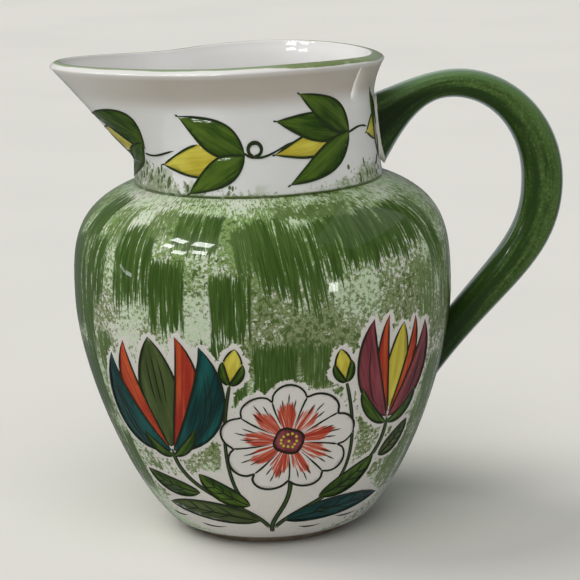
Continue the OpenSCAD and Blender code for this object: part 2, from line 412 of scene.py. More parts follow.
frontStrokes = [
    (-72, 138, 173, 15, 0, 0), (-77, 98, 150, 24, 0, 0), (-82, 92, 152, 20, 0, 0), (-64, 112, 152, 15, -4, 0),
    (-47, 113, 160, 21, 0, 0), (-34, 106, 146, 18, 0, 0), (-26, 141.5, 167, 21, 0, 0),
    (-58, 140, 168, 12, 0, 4), (-14.5, 102, 141, 18, 0, 0), (-18.5, 76, 113, 22, 3, 0),
    (-2.5, 77, 112, 19, 0, 0), (-40, 146, 168, 12, 4, 4),
    (-9, 130, 160, 12, 10, 1), (-1.5, 120, 166, 17, 10, 0), (8, 114, 162, 18, 8, 0), (10, 84, 110, 15, 0, 1),
    (20, 128, 165, 20, 6, 0), (32, 130, 165, 20, 5, 0), (45, 133, 166, 18, 5, 0),
    (14, 158, 170, 34, 0, 3), (-8, 160, 170, 22, 0, 4), (58, 118, 167, 14, 14, 0), (66, 95, 142, 20, 0, 3),
    (51, 98, 138, 14, 0, 4), (60, 50, 96, 18, -8, 3), (74, 60, 118, 17, 0, 1), (50, 22, 58, 16, -14, 4),
    (66, 20, 60, 16, -8, 2), (-74, 58, 106, 19, 0, 0), (-60, 78, 112, 12, 0, 2), (-68, 22, 66, 17, 0, 1),
    (-82, 18, 60, 15, 0, 1), (-86, 50, 104, 18, 0, 0), (-52, 20, 52, 12, 6, 4), (82, 90, 146, 17, 0, 1),
    (88, 40, 96, 16, 0, 2), (-69, 92, 128, 11, 0, 0), (-77, 60, 100, 16, 0, 0), (57, 62, 134, 13, 0, 5),
    (69, 46, 132, 15, -2, 4), (40, 44, 74, 9, -20, 3)]


# Flecks on the shoulder: how many across, how many a mm along, and their lean in degrees a mm
spongeFlecks = (74, 0.36, 0.14)
# Where the sponging is thicker or thinner: turn, run, mm wide and change
spongeMoods = [
    (-24, 116, 13, -0.30), (5, 108, 15, 0.32), (-47, 112, 12, -0.22), (26, 133, 16, -0.28),
    (-6, 170, 12, -0.16), (-34, 158, 14, 0.26), (-14, 160, 12, 0.10), (-33, 144, 8, 0.24),
    (42, 118, 16, 0.10), (-56, 166, 14, -0.10)]
# Courses of strokes round the back, from one turn to another: lowest and highest run, how many
# and how far they move up or down. None goes higher than the top run.
backCourses = [(134, 164, 15, 0.3), (98, 140, 16, 1), (62, 104, 16, 1), (28, 68, 13, 1)]
backTurns = (86, 274)
topRun = 170


def backStrokes():
    strokes = []
    for low, high, count, loose in backCourses:
        for k in range(count):
            turn = backTurns[0] + (backTurns[1] - backTurns[0]) * (k + 0.5) / count + chance.uniform(-5, 5)
            move, long = chance.uniform(-13, 12), chance.uniform(0.6, 1.25) * (high - low) / 2
            middle = (low + high) / 2 + loose * move
            strokes.append((turn, middle - long, min(topRun, middle + long), chance.uniform(12, 21),
                            chance.uniform(-9, 11), int(chance.integers(0, 7))))
    return strokes


# The painted flowers, in one flat design laid on the front of the belly: right and up in mm from its middle.
# The low white is an oval at its foot where no ground is sponged: place, half width and half height.

design = {
    "turn": -5.0, "run": 70.0, "margin": 2.2, "lowWhite": (0, -42, 50, 24), "lowWhiteFade": (-0.2, 0.35)}


def onDesign(points, lift=0):
    run = design["run"] + points[:, 1]
    return onBelly(design["turn"] + np.degrees(points[:, 0] / radiusAt(run)), run, lift)


def petal(base, tip, half, bend=0.0, full=0.55, blunt=0.75):
    base, tip = np.array(base, float), np.array(tip, float)
    ahead = tip - base
    side = np.array([-ahead[1], ahead[0]]) / np.linalg.norm(ahead)
    reach = 1.33 * half
    left = bezier(base, base + ahead * (1 - full) * 0.4 + side * (reach + bend),
                  base + ahead * (0.5 + full * 0.5) + side * (reach * blunt + bend), tip, 16)
    right = bezier(tip, base + ahead * (0.5 + full * 0.5) + side * (bend - reach * blunt),
                   base + ahead * (1 - full) * 0.4 + side * (bend - reach), base, 16)
    return {"outline": np.concatenate([left, right[1:-1]]), "left": left, "right": right,
            "base": base, "tip": tip, "half": half, "seed": chance.uniform(0, 1)}


def brushValues(shape, points):
    ahead = shape["tip"] - shape["base"]
    length = np.linalg.norm(ahead)
    side = np.array([-ahead[1], ahead[0]]) / length
    off = points - shape["base"]
    return np.column_stack([off @ side / shape["half"], off @ ahead / length ** 2,
                            np.full(len(points), shape["seed"])])


def insideEdge(points, edge):
    x, y = points[:, 0], points[:, 1]
    inside = np.zeros(len(points), bool)
    for (px, py), (qx, qy) in zip(edge, np.roll(edge, -1, 0)):
        if py != qy:
            inside ^= ((py > y) != (qy > y)) & (x < px + (y - py) * (qx - px) / (qy - py))
    return inside


def awayFromEdge(points, edge, closed=True):
    near = np.full(len(points), 1e3)
    for p, q in zip(edge if closed else edge[:-1], np.roll(edge, -1, 0)):
        t = np.clip(((points - p) @ (q - p)) / max((q - p) @ (q - p), 1e-9), 0, 1)
        near = np.minimum(near, np.linalg.norm(points - p - t[:, None] * (q - p), axis=1))
    return near


def insidePoints(edge, spacing):
    low, high = edge.min(0), edge.max(0)
    grid = np.stack(np.meshgrid(*[np.arange(a, b, spacing) for a, b in zip(low, high)]), -1).reshape(-1, 2)
    return grid[insideEdge(grid, edge) & (awayFromEdge(grid, edge) > 0.35 * spacing)]


# Thin closed films of paint that follow the surface: a raised face, a hidden underside and an edge between.
# All in mm: steps along the edge and inside it, how deep the underside is sunk and how high each layer lies.
filmForm = {"edgeStep": 1.0, "spacing": 2.6, "sink": 0.35, "lift": 0.05, "layerLift": 0.03}


def paintFilm(name, shapes, material, slot, f=filmForm):
    points, faces, soft, brush = [], [], [], []
    start = 0
    for shape in shapes:
        edge = resample(np.concatenate([shape["outline"], shape["outline"][:1]]), f["edgeStep"])[:-1]
        flat = np.concatenate([edge, insidePoints(edge, f["spacing"])])
        loop = list(range(len(edge)))
        result = geometry.delaunay_2d_cdt([Vector(p) for p in flat], [], [loop], 1, 1e-5, True)
        plan = np.array([tuple(v) for v in result[0]])
        top = [list(face) for face in result[2]]
        lift = f["lift"] + f["layerLift"] * shape["layer"]
        points += [shape["place"](plan, lift), shape["place"](plan, -f["sink"])]
        brush += [brushValues(shape, plan)] * 2
        count = len(plan)
        sides = {(a, b) for face in top for a, b in zip(face, face[1:] + face[:1])}
        walls = [(a, b) for a, b in sides if (b, a) not in sides]
        faces += [[start + v for v in face] for face in top]
        faces += [[start + count + v for v in reversed(face)] for face in top]
        faces += [[start + a, start + count + a, start + count + b, start + b] for a, b in walls]
        soft += [True] * (2 * len(top)) + [False] * len(walls)
        start += 2 * count
    piece = newPiece(name, np.concatenate(points), faces, material, np.array(soft))
    addValues(piece, "brush", np.concatenate(brush))
    return finishPiece(piece, slot)


# Painted lines: Geometry Nodes sweep a low ribbon along each path, square to the glaze.
# A line wavers in width, ends at a least share of it, and is laid a little above the glaze, in mm.
# A shape's edge is two lines, finer on the far side.

lineForm = {
    "step": 0.8, "lift": 0.1, "least": 0.12, "ease": 0.3, "waver": 0.16, "wavers": 9,
    "farSide": 0.9, "sideTaper": (0.12, 0.2)}
fineLine = 0.5                     # mm, the finest width that is drawn
closedLine = (0.03, 0.03)          # taper of a line that closes on itself


class LineSet:
    def __init__(self):
        self.points, self.normals, self.widths, self.edges, self.count = [], [], [], [], 0

    # Stretches that later shapes cover are left out
    def add(self, place, path, width, taper, covers, f=lineForm):
        path = resample(path, f["step"])
        share = np.linspace(0, 1, len(path))
        start, end = (smooth(-k * f["ease"], k, s) for k, s in zip(taper, (share, 1 - share)))
        swell = np.maximum(np.minimum(start, end), f["least"])
        wave = f["waver"] * np.sin(share * f["wavers"] + chance.uniform(0, 6)) * chance.uniform(0.4, 1)
        half = width / 2 * swell * (1 + wave)
        low, high = place(path, f["lift"]), place(path, 1.0)
        seen = np.ones(len(path), bool)
        for edge in covers:
            seen &= ~insideEdge(path, edge)
        for run in np.split(np.arange(len(path)), np.nonzero(np.diff(seen))[0] + 1):
            if seen[run[0]] and len(run) > 2:
                self.points.append(low[run])
                self.normals.append(unit(high - low)[run])
                self.widths.append(half[run])
                self.edges += [(self.count + k, self.count + k + 1) for k in range(len(run) - 1)]
                self.count += len(run)


# A painting is shapes laid over one another in order, and lines drawn after the shapes so far
class Painting:
    def __init__(self, place):
        self.place, self.shapes, self.lines = place, [], []

    def fill(self, colour, shape, width=0.75, shares=(0.0, 1.0), f=lineForm):
        under = [s["layer"] for s in self.shapes if insideEdge(shape["outline"], s["outline"]).any()
                 or insideEdge(s["outline"], shape["outline"]).any()]
        shape.update(layer=max(under, default=-1) + 1, colour=colour, place=self.place)
        self.shapes.append(shape)
        if width:
            for side, wide in ((shape["left"], width), (shape["right"][::-1], width * f["farSide"])):
                first, last = (int(round(s * (len(side) - 1))) for s in shares)
                self.line(side[first:last + 1], wide, f["sideTaper"])
        return shape

    def line(self, path, width, taper=(0.25, 0.35), kind="black"):
        self.lines.append((len(self.shapes), kind, path, width, taper))

    def giveLines(self, kind, lines):
        for after, which, path, width, taper in self.lines:
            if which == kind:
                lines.add(self.place, path, width, taper, [s["outline"] for s in self.shapes[after:]])


# Geometry Nodes trees, from their own inputs, nodes (kind, settings and inputs) and links.
# Each one takes a paint and ends in Realize Instances and Set Material.

def namedValue(name, kind="FLOAT_VECTOR"):
    return "GeometryNodeInputNamedAttribute", {"data_type": kind}, {"Name": name}


def nodeTree(name, inputs, nodes, links):
    tree = bpy.data.node_groups.new(name, "GeometryNodeTree")
    face = tree.interface
    sockets = {"Geometry": "NodeSocketGeometry", **inputs, "Paint": "NodeSocketMaterial"}
    for socket, kind in sockets.items():
        face.new_socket(socket, in_out="INPUT", socket_type=kind)
    face.new_socket("Geometry", in_out="OUTPUT", socket_type="NodeSocketGeometry")
    nodes = {"in": ("NodeGroupInput", {}, {}), "out": ("NodeGroupOutput", {}, {}), **nodes,
             "real": ("GeometryNodeRealizeInstances", {}, {}), "paint": ("GeometryNodeSetMaterial", {}, {})}
    made = {}
    for key, (kind, settings, values) in nodes.items():
        made[key] = node = tree.nodes.new(kind)
        for setting, value in settings.items():
            setattr(node, setting, value)
        for socket, value in values.items():
            node.inputs[socket].default_value = value
    ending = ("real.Geometry paint.Geometry", "in.Paint paint.Material", "paint.Geometry out.Geometry")
    for link in (*links, *ending):
        (a, out), (b, into) = (end.split(".") for end in link.split())
        tree.links.new(made[a].outputs[out], made[b].inputs[into.replace("_", " ")])
    return tree


def lineTree():
    nodes = {
        "curve": ("GeometryNodeMeshToCurve", {}, {}),
        "normal": ("GeometryNodeSetCurveNormal", {"mode": "FREE"}, {}),
        "sweep": ("GeometryNodeCurveToMesh", {}, {"Fill Caps": True}),
        # Two high, because the half width scales it
        "profile": ("GeometryNodeCurvePrimitiveQuadrilateral", {}, {"Height": 2.0}),
        "normalName": namedValue("lineNormal"), "widthName": namedValue("lineWidth", "FLOAT")}
    return nodeTree("paintedLine", {"Relief": "NodeSocketFloat"}, nodes, (
        "in.Geometry curve.Mesh", "curve.Curve normal.Curve", "normalName.Attribute normal.Normal",
        "normal.Curve sweep.Curve", "in.Relief profile.Width", "profile.Curve sweep.Profile_Curve",
        "widthName.Attribute sweep.Scale", "sweep.Mesh real.Geometry"))


def runTree(piece, tree, values):
    modifier = piece.modifiers.new("nodes", "NODES")
    modifier.node_group = tree
    for item in tree.interface.items_tree:
        if item.item_type == "SOCKET" and item.in_out == "INPUT" and item.name in values:
            modifier[item.identifier] = values[item.name]
    view = bpy.context.evaluated_depsgraph_get()
    plain = bpy.data.meshes.new_from_object(piece.evaluated_get(view))
    piece.modifiers.remove(modifier)
    plain.name = piece.name
    piece.data = plain


def sweepLines(name, lines, tree, material, slot, relief):
    piece = addMesh(name, np.concatenate(lines.points), lines.edges)
    addValues(piece, "lineNormal", np.concatenate(lines.normals))
    addValues(piece, "lineWidth", np.concatenate(lines.widths) * mm)
    runTree(piece, tree, {"Relief": relief, "Paint": material})
    piece.data.polygons.foreach_set("use_smooth", np.zeros(len(piece.data.polygons), bool))
    return finishPiece(piece, slot)


# Small daubs of paint, instanced on points: low oval pats laid square to the surface

def daubTree():
    nodes = {
        "points": ("GeometryNodeMeshToPoints", {}, {}),
        "pat": ("GeometryNodeMeshCylinder", {}, {"Radius": 1.0, "Depth": 1.0}),
        "place": ("GeometryNodeInstanceOnPoints", {}, {}),
        "square": ("FunctionNodeAlignRotationToVector", {"axis": "Z"}, {}),
        "upright": ("FunctionNodeAlignRotationToVector", {"axis": "Y", "pivot_axis": "Z"}, {}),
        "normalName": namedValue("daubNormal"), "upName": namedValue("daubUp"),
        "sizeName": namedValue("daubSize")}
    return nodeTree("paintedDaub", {"Sides": "NodeSocketInt"}, nodes, (
        "in.Geometry points.Mesh", "in.Sides pat.Vertices", "points.Points place.Points",
        "pat.Mesh place.Instance", "normalName.Attribute square.Vector", "square.Rotation upright.Rotation",
        "upName.Attribute upright.Vector", "upright.Rotation place.Rotation",
        "sizeName.Attribute place.Scale", "place.Instances real.Geometry"))


def placeDaubs(name, spots, tree, material, slot, sides=10):
    place, plan, size, up = (np.concatenate([s[k] for s in spots]) for k in range(4))
    piece = addMesh(name, place)
    addValues(piece, "daubNormal", plan)
    addValues(piece, "daubSize", size * mm)
    addValues(piece, "daubUp", up)
    runTree(piece, tree, {"Sides": sides, "Paint": material})
    return finishPiece(piece, slot)


def daubSpots(place, points, width, length, thick):
    points = np.asarray(points, float)
    low, high, above = place(points, 0.0), place(points, 1.0), place(points + [0, 0.5], 0.0)
    wide, long, deep = (np.broadcast_to(size, len(points)) for size in (width, length, thick))
    return low, unit(high - low), np.column_stack([wide / 2, long / 2, deep]), unit(above - low)


# Flowers

# The daisy's rays are short lines on each petal: degrees from its middle, and the shares of the radius
# between which they run, nearer the heart by the fade for each degree
flowers = {
    "daisy": {"middle": (8, -6), "radius": 27, "petals": 9, "notch": 0.22, "heart": 6.2, "tilt": 8,
              "lobe": 0.55, "uneven": (0.05, 0.03), "heartWave": 0.06,
              "rays": (-8, 0, 8), "rayReach": (0.62, 0.84), "rayFade": 0.012},
    "tulip": {"base": (-43, -12), "tip": (-52, 41), "half": 21},
    "bell": {"base": (54, -2), "tip": (63, 44), "half": 16},
    "foot": (0, -59)}


def frameOf(base, tip):
    base, tip = np.array(base, float), np.array(tip, float)
    ahead = tip - base
    side = np.array([ahead[1], -ahead[0]]) / np.linalg.norm(ahead)
    return lambda right, up: base + ahead * up + side * right


def ringShape(middle, reach, turns, half):
    edge = middle + np.column_stack([np.cos(turns), np.sin(turns)]) * reach[:, None]
    return {"outline": edge, "base": middle, "tip": middle + [0, half], "half": half, "seed": 0.3}


def drawDaisy(painting, f):
    middle = np.array(f["middle"], float)
    turns = np.radians(np.arange(0, 360, 3.0))
    lobes = np.abs(np.cos((turns - math.radians(f["tilt"])) * f["petals"] / 2)) ** f["lobe"]
    uneven = 1 + f["uneven"][0] * np.sin(turns * 2 + 1) + f["uneven"][1] * np.sin(turns * 5)
    reach = f["radius"] * (1 - f["notch"] + f["notch"] * lobes) * uneven
    face = painting.fill("daisy", ringShape(middle, reach, turns, f["radius"]), 0)
    painting.line(np.concatenate([face["outline"], face["outline"][:2]]), 0.85, closedLine)
    for k in range(f["petals"]):
        angle = f["tilt"] + 360 * (k + 0.5) / f["petals"]
        notch = np.interp(math.radians(angle % 360), turns, reach)
        start, end = middle + heading(angle) * notch, middle + heading(angle + 3) * (f["heart"] + 1.5)
        painting.line(bezier(start, start * 0.7 + end * 0.3 + heading(angle + 90) * 0.6,
                             start * 0.3 + end * 0.7, end), 0.7, (0.1, 0.6))
        for off in f["rays"]:
            a = angle + 180 / f["petals"] + off
            inner, outer = (middle + heading(a) * f["radius"] * (share - f["rayFade"] * abs(off))
                            for share in f["rayReach"])
            painting.line(bezier(inner, inner * 0.6 + outer * 0.4 + heading(a + 90) * 0.4,
                                 inner * 0.3 + outer * 0.7, outer), fineLine, (0.5, 0.3))
    heart = f["heart"] * (1 + f["heartWave"] * np.sin(turns * 4))
    core = painting.fill("maroon", ringShape(middle, heart, turns, f["heart"]), 0)
    painting.line(np.concatenate([core["outline"], core["outline"][:2]]), 0.8, closedLine)


# A petal on each side of a flower's middle: shares of its half width across and of its height up
def petalPair(painting, at, h, colour, base, tip, half, bend, width=0.75):
    for s in (-1, 1):
        painting.fill(colour, petal(at(base[0] * s * h, base[1]), at(tip[0] * s * h, tip[1]),
                                    half * h, bend * s * h), width)


def drawTulip(painting, f):
    at = frameOf(f["base"], f["tip"])
    h = f["half"]
    painting.fill("olive", petal(at(0, 0.02), at(0.04 * h, 0.98), h * 0.56))
    petalPair(painting, at, h, "redOrange", (0.05, 0), (0.66, 0.96), 0.33, -0.42)
    for s in (-1, 1):
        teal = petal(at(0.02 * s * h, -0.02), at(1.12 * s * h, 0.86), h * 0.42, -0.62 * s * h)
        painting.fill("teal", teal, 0.9)
        for off in (0.0, 0.13):
            x = s * h * (off + 1.1)
            painting.line(bezier(at(x - 0.8 * s * h, 0.04), at(x - 0.15 * s * h, 0.1), at(x, 0.45),
                                 at(x - 0.7 * off * s * h, 0.72)), fineLine, (0.3, 0.5))
    for off in (-0.1, 0.02, 0.14):
        painting.line(bezier(at(off * h, 0.42), at(off * h * 1.3, 0.55), at(off * h * 1.4, 0.68),
                             at(off * h, 0.84)), fineLine, (0.3, 0.6))
    petalPair(painting, at, h, "leaf", (0, -0.07), (0.62, 0.17), 0.12, -0.15)


def drawBell(painting, f):
    at = frameOf(f["base"], f["tip"])
    h = f["half"]
    painting.fill("yellow", petal(at(0, 0.1), at(0.06 * h, 0.92), h * 0.42))
    petalPair(painting, at, h, "redOrange", (0.02, 0.05), (0.5, 0.98), 0.22, -0.3)
    for s in (-1, 1):
        maroon = petal(at(0.02 * s * h, 0.0), at(0.98 * s * h, 0.94), h * 0.40, -0.52 * s * h)
        painting.fill("maroon", maroon, 0.85)
        painting.line(bezier(at(0.35 * s * h, 0.1), at(0.85 * s * h, 0.2), at(0.95 * s * h, 0.5),
                             at(0.97 * s * h, 0.78)), fineLine, (0.3, 0.5))
    petalPair(painting, at, h, "leaf", (0, -0.06), (1.0, 0.3), 0.18, -0.28)


def drawStem(painting, *points, width=1.6):
    path = bezier(*points, 40)
    painting.line(path, width, (0.05, 0.05), "stem")
    ahead = unit(np.gradient(path, axis=0))
    side = np.column_stack([-ahead[:, 1], ahead[:, 0]]) * width * 0.48
    for s in (-1, 1):
        painting.line(path + s * side, fineLine, (0.05, 0.1))


def drawLeaf(painting, colour, base, tip, half, bend=0.0):
    painting.fill(colour, petal(base, tip, half, bend))
    at = frameOf(base, tip)
    lift = -bend * 0.75
    painting.line(bezier(at(0, 0.02), at(lift, 0.3), at(lift, 0.6), at(0, 0.9)), 0.6, (0.1, 0.7))
    for up in (0.28, 0.46, 0.64):
        for s in (-1, 1):
            painting.line(bezier(at(lift * 0.9, up), at(lift + s * half * 0.2, up + 0.05),
                                 at(lift + s * half * 0.4, up + 0.1),
                                 at(lift + s * half * 0.6, up + 0.17), 8), fineLine, (0.2, 0.7))


def drawBud(painting, base, tip, half):
    at = frameOf(base, tip)
    painting.fill("yellow", petal(at(0, 0.1), at(0, 1), half))
    petalPair(painting, at, half, "leaf", (0, 0), (0.9, 0.62), 0.42, -0.4, 0.65)


def paintFlowers():
    painting = Painting(onDesign)
    foot = flowers["foot"]
    drawStem(painting, foot, (-2, -48), (9, -42), (8, -25))
    drawStem(painting, (foot[0] - 1, foot[1] + 3), (-8, -38), (-40, -36), flowers["tulip"]["base"])
    drawStem(painting, (foot[0] + 1, foot[1] + 3), (8, -40), (52, -32), flowers["bell"]["base"])
    drawStem(painting, (-9, -42), (-20, -28), (-20, 0), (-15, 22), width=1.1)
    drawStem(painting, (20, -39), (35, -30), (39, -8), (33, 20), width=1.1)
    drawLeaf(painting, "olive", (-5, -51), (-49, -45), 6.5, -3)
    drawLeaf(painting, "leaf", (-9, -41), (-31, -24), 5.2, 2)
    drawLeaf(painting, "leaf", (-31, -35), (-60, -27), 5.0, 3)
    drawLeaf(painting, "teal", (5, -51), (52, -45), 6.5, 3)
    drawLeaf(painting, "leaf", (20, -38), (47, -20), 5.4, -3)
    drawLeaf(painting, "olive", (50, -22), (68, -7), 4.6, -2)
    drawBud(painting, (-15.2, 21), (-12.5, 37), 4.6)
    drawBud(painting, (33, 19), (31, 34), 4.2)
    drawTulip(painting, flowers["tulip"])
    drawBell(painting, flowers["bell"])
    drawDaisy(painting, flowers["daisy"])
    for x, y, wide in ((-26, -56.5, 12), (-44, -52.5, 9), (16, -57, 10), (34, -54, 12), (24, -46, 8)):
        painting.line(bezier((x - wide / 2, y + 1), (x - wide / 5, y - 0.6), (x + wide / 4, y - 0.6),
                             (x + wide / 2, y + 0.7)), 0.6, (0.3, 0.5))
    return painting


flowerPainting = paintFlowers()


# How far a place is outside the painted flowers, in mm: the sponged ground keeps clear of them
def awayFromFlowers(points, far):
    near = np.full(len(points), far)
    for shape in flowerPainting.shapes:
        edge = resample(np.concatenate([shape["outline"], shape["outline"][:1]]), 2.0)[:-1]
        near = np.minimum(near, np.where(insideEdge(points, edge), 0, awayFromEdge(points, edge)))
    for after, kind, path, width, taper in flowerPainting.lines:
        if kind == "stem":
            near = np.minimum(near, awayFromEdge(points, resample(path, 2.0), False))
    return near


# Belly

strokeLayers = 4                   # strokes that overlap lie in different layers
strokeFringe = (0.2, 0.08)         # how far a stroke's ragged edge may reach past it, across and along
noStroke = (9.0, 9.0, 0.0)         # across, along and tone where a layer is empty


def strokeValues(strokes, turns, runs, radii):
    cells = (len(runs) - 1, len(turns) - 1)
    layers = [np.tile(noStroke, (*cells, 4, 1)) for _ in range(strokeLayers)]
    taken = [np.zeros(cells, bool) for _ in layers]
    midTurn, midRun, midRadius = ((v[:-1] + v[1:]) / 2 for v in (turns, runs, radii))
    halfColumn = np.radians((turns[1] - turns[0]) / 2)
    dropped = 0
    for turn, low, high, width, lean, pale in strokes:
        cos, sin = math.cos(math.radians(lean)), math.sin(math.radians(lean))

        def local(t, run, radius):
            x = np.radians(wrapTurn(t - turn)) * radius
            y = run - (low + high) / 2
            return (x * cos + y * sin) / (width / 2), 0.5 + (x * sin - y * cos) / (high - low)

        u, v = local(midTurn[None, :], midRun[:, None], midRadius[:, None])
        mask = (np.abs(u) < 1 + strokeFringe[0]) & (v > -strokeFringe[1]) & (v < 1 + strokeFringe[1])
        layer = next((k for k in range(strokeLayers) if not (taken[k] & mask).any()), None)
        if layer is None:
            dropped += 1
            continue
        taken[layer] |= mask
        i, j = np.nonzero(mask)
        tone = np.full(len(i), pale + chance.uniform(0.02, 0.98))
        for corner, (di, side) in enumerate(((0, -1), (0, 1), (1, 1), (1, -1))):
            uc, vc = local(midTurn[j], runs[i + di], radii[i + di])
            off = side * halfColumn * radii[i + di]
            layers[layer][i, j, corner] = np.column_stack([
                uc + off * cos / (width / 2), vc + off * sin / (high - low), tone])
    print("belly strokes", len(strokes) - dropped, "dropped", dropped)
    return layers


# Noise is cycles a metre, detail and roughness. A pair is where a tone starts to show and where it is full.
bellyLook = {
    "patch": (60, 2), "grain": (620, 3, 0.65), "fleck": (1, 3, 0.6), "blot": (420, 3, 0.6), "fine": (1300, 2),
    "patchWeight": 0.5, "spongeWeight": 0.35, "darkWeight": 0.5,
    "flecked": (160, 176), "fleckedDrift": 40, "green": (130, 165), "greenDrift": 30,
    "reserve": (0.45, 0.62), "reserveDrift": 1.6, "clay": (900, 2), "clayShade": (0.4, 0.7),
    "thin": (38, 2), "thinRun": (140, 168, 0.42, 0.50), "bare": (0.38, 0.80), "light": (0.35, 0.65),
    "cover": (0.42, 0.56), "coverSponge": (0.02, 0.25), "dark": (0.585, 0.66), "darkSponge": (0.05, 0.5)}


# Sponge work in greens over pale ground, finer and drawn out on the shoulder
def spongedGround(m, f, place):
    sponge, run = m.attribute("sponge"), m.attribute("run")
    patch, blot, fine = (m.noise(place, *f[k]) for k in ("patch", "blot", "fine"))
    grain, flecks = m.noise(place, *f["grain"]), m.noise(m.attribute("fleck", "Vector"), *f["fleck"])
    grain = (flecks - grain) * m.step(patch * f["fleckedDrift"] + run, *f["flecked"]) + grain
    level = (patch - 0.5) * f["patchWeight"] + (sponge - 0.5) * f["spongeWeight"]
    cover = m.step(grain + level, *f["cover"])
    bare = fine + m.noise(place, *f["thin"]) - m.step(run, *f["thinRun"])
    pale = m.mix(m.step(bare, *f["bare"]), paint["ground"], paint["white"])
    green = m.step(patch * f["greenDrift"] + run, *f["green"])
    dense = m.mix(green, paint["olive"], paint["sponge"])
    light = m.mix(green, paint["oliveLight"], paint["spongeLight"])
    tone = m.mix(m.step(fine, *f["light"]), dense, light)
    colour = m.mix(cover * m.step(sponge, *f["coverSponge"]), pale, tone)
    dark = m.step(level * f["darkWeight"] + blot, *f["dark"])
    colour = m.mix(dark * m.step(sponge, *f["darkSponge"]), colour, paint["spongeDark"])
    ragged = (blot - 0.5) * f["reserveDrift"] + m.attribute("reserve")
    painted = m.step(ragged, *f["reserve"]) * m.attribute("outside")
    return colour, cover, painted


# A stroke's noise is cycles across and along, detail and roughness, in units of its half width and its length
strokeLook = {
    "broad": (5.0, 1.5, 3, 0.55), "hair": (15.0, 2.6, 2, 0.6), "broadWeight": 0.45, "hairWeight": 0.55,
    "ends": (9.0, 2, 0.7), "side": (5.0, 2), "sideDrift": 0.3, "sideEdge": (1.14, 1.02), "apart": 97.0,
    "top": (0.3, 0.4), "foot": (0.72, 0.75), "soft": 0.05, "full": 0.24,
    "dry": 0.372, "dryPale": 0.13, "dryEnds": 0.10, "wettest": 0.45, "pressure": 1.6, "paleness": 0.9}


# One layer of dry brush strokes: streaks that open towards both ends, over the sponge work
def layStrokes(m, f, layer, colour, thick, painted):
    u, v, w = m.split(m.attribute(f"dab{layer}", "Vector"))
    paleness = m.calc("FLOOR", w) / 9
    far = m.calc("FRACT", w) * f["apart"]
    broad, hair = (m.noise(m.vector(u * across + far, v * along, far), 1, *rest)
                   for across, along, *rest in (f["broad"], f["hair"]))
    across, *rest = f["ends"]
    ends = m.noise(m.vector(u * across + far, 3.1, far), 1, *rest)
    streak = hair * f["hairWeight"] + broad * f["broadWeight"]
    press = abs((v - f["wettest"]) * f["pressure"]) ** 2
    over = streak - (paleness * f["dryPale"] + press * f["dryEnds"] + f["dry"])
    along, detail = f["side"]
    side = abs(u) + m.noise(m.vector(v * along, far, 1.7), 1, detail) * f["sideDrift"]
    top = v - (ends - f["top"][0]) * f["top"][1]
    foot = 1 - v - (f["foot"][0] - ends) * f["foot"][1]
    dab = m.step(over, 0, f["soft"]) * m.step(side, *f["sideEdge"])
    dab = dab * m.step(top, 0, f["soft"]) * m.step(foot, 0, f["soft"]) * painted
    green = m.mix(m.step(over, 0, f["full"]), paint["strokeMid"], paint["strokeDark"])
    green = m.mix(paleness * f["paleness"], green, paint["strokePale"])
    return m.mix(dab, colour, green), m.calc("MAXIMUM", thick, dab * streak)


def bellyFinish(f):
    m = Finish("bellyGlaze")
    place = m.place()
    colour, thick, painted = spongedGround(m, f, place)
    for layer in range(strokeLayers):
        colour, thick = layStrokes(m, strokeLook, layer, colour, thick, painted)
    clay = m.mix(m.step(m.noise(place, *f["clay"]), *f["clayShade"]), paint["white"], paint["shade"])
    return m.glaze(m.mix(painted, clay, colour), thick)


def bellyRings(f, outer):
    normals = np.column_stack([np.gradient(outer[:, 1]), -np.gradient(outer[:, 0])])
    inward = outer - unit(normals) * f["wall"]
    floorHeight = f["footHeight"] + f["floor"]
    lining = resample(inward[inward[:, 1] > floorHeight + f["floorCurb"]][::-1], f["liningStep"])
    under = np.linspace(f["pole"], f["baseRadius"] - f["underInset"], f["underRings"])
    floor = np.linspace(lining[-1, 0] - f["floorInset"], f["pole"], f["floorRings"])
    mouth = (f["neckRadius"] - f["wall"], f["shoulderHeight"])
    return np.concatenate([[(r, f["footHeight"]) for r in under], outer, [mouth], lining,
                           [(r, floorHeight) for r in floor]])


# How thickly the ground is sponged, its share, and how it thins out: first and last run, and change
sponging = {
    "level": 0.60, "wave": 0.12, "waves": 3, "waveTurn": 40, "least": 0.05, "starts": (3, 9),
    "thins": [(158, 172, -0.14), (60, 20, -0.22)], "designSide": 100, "farAway": 50.0}


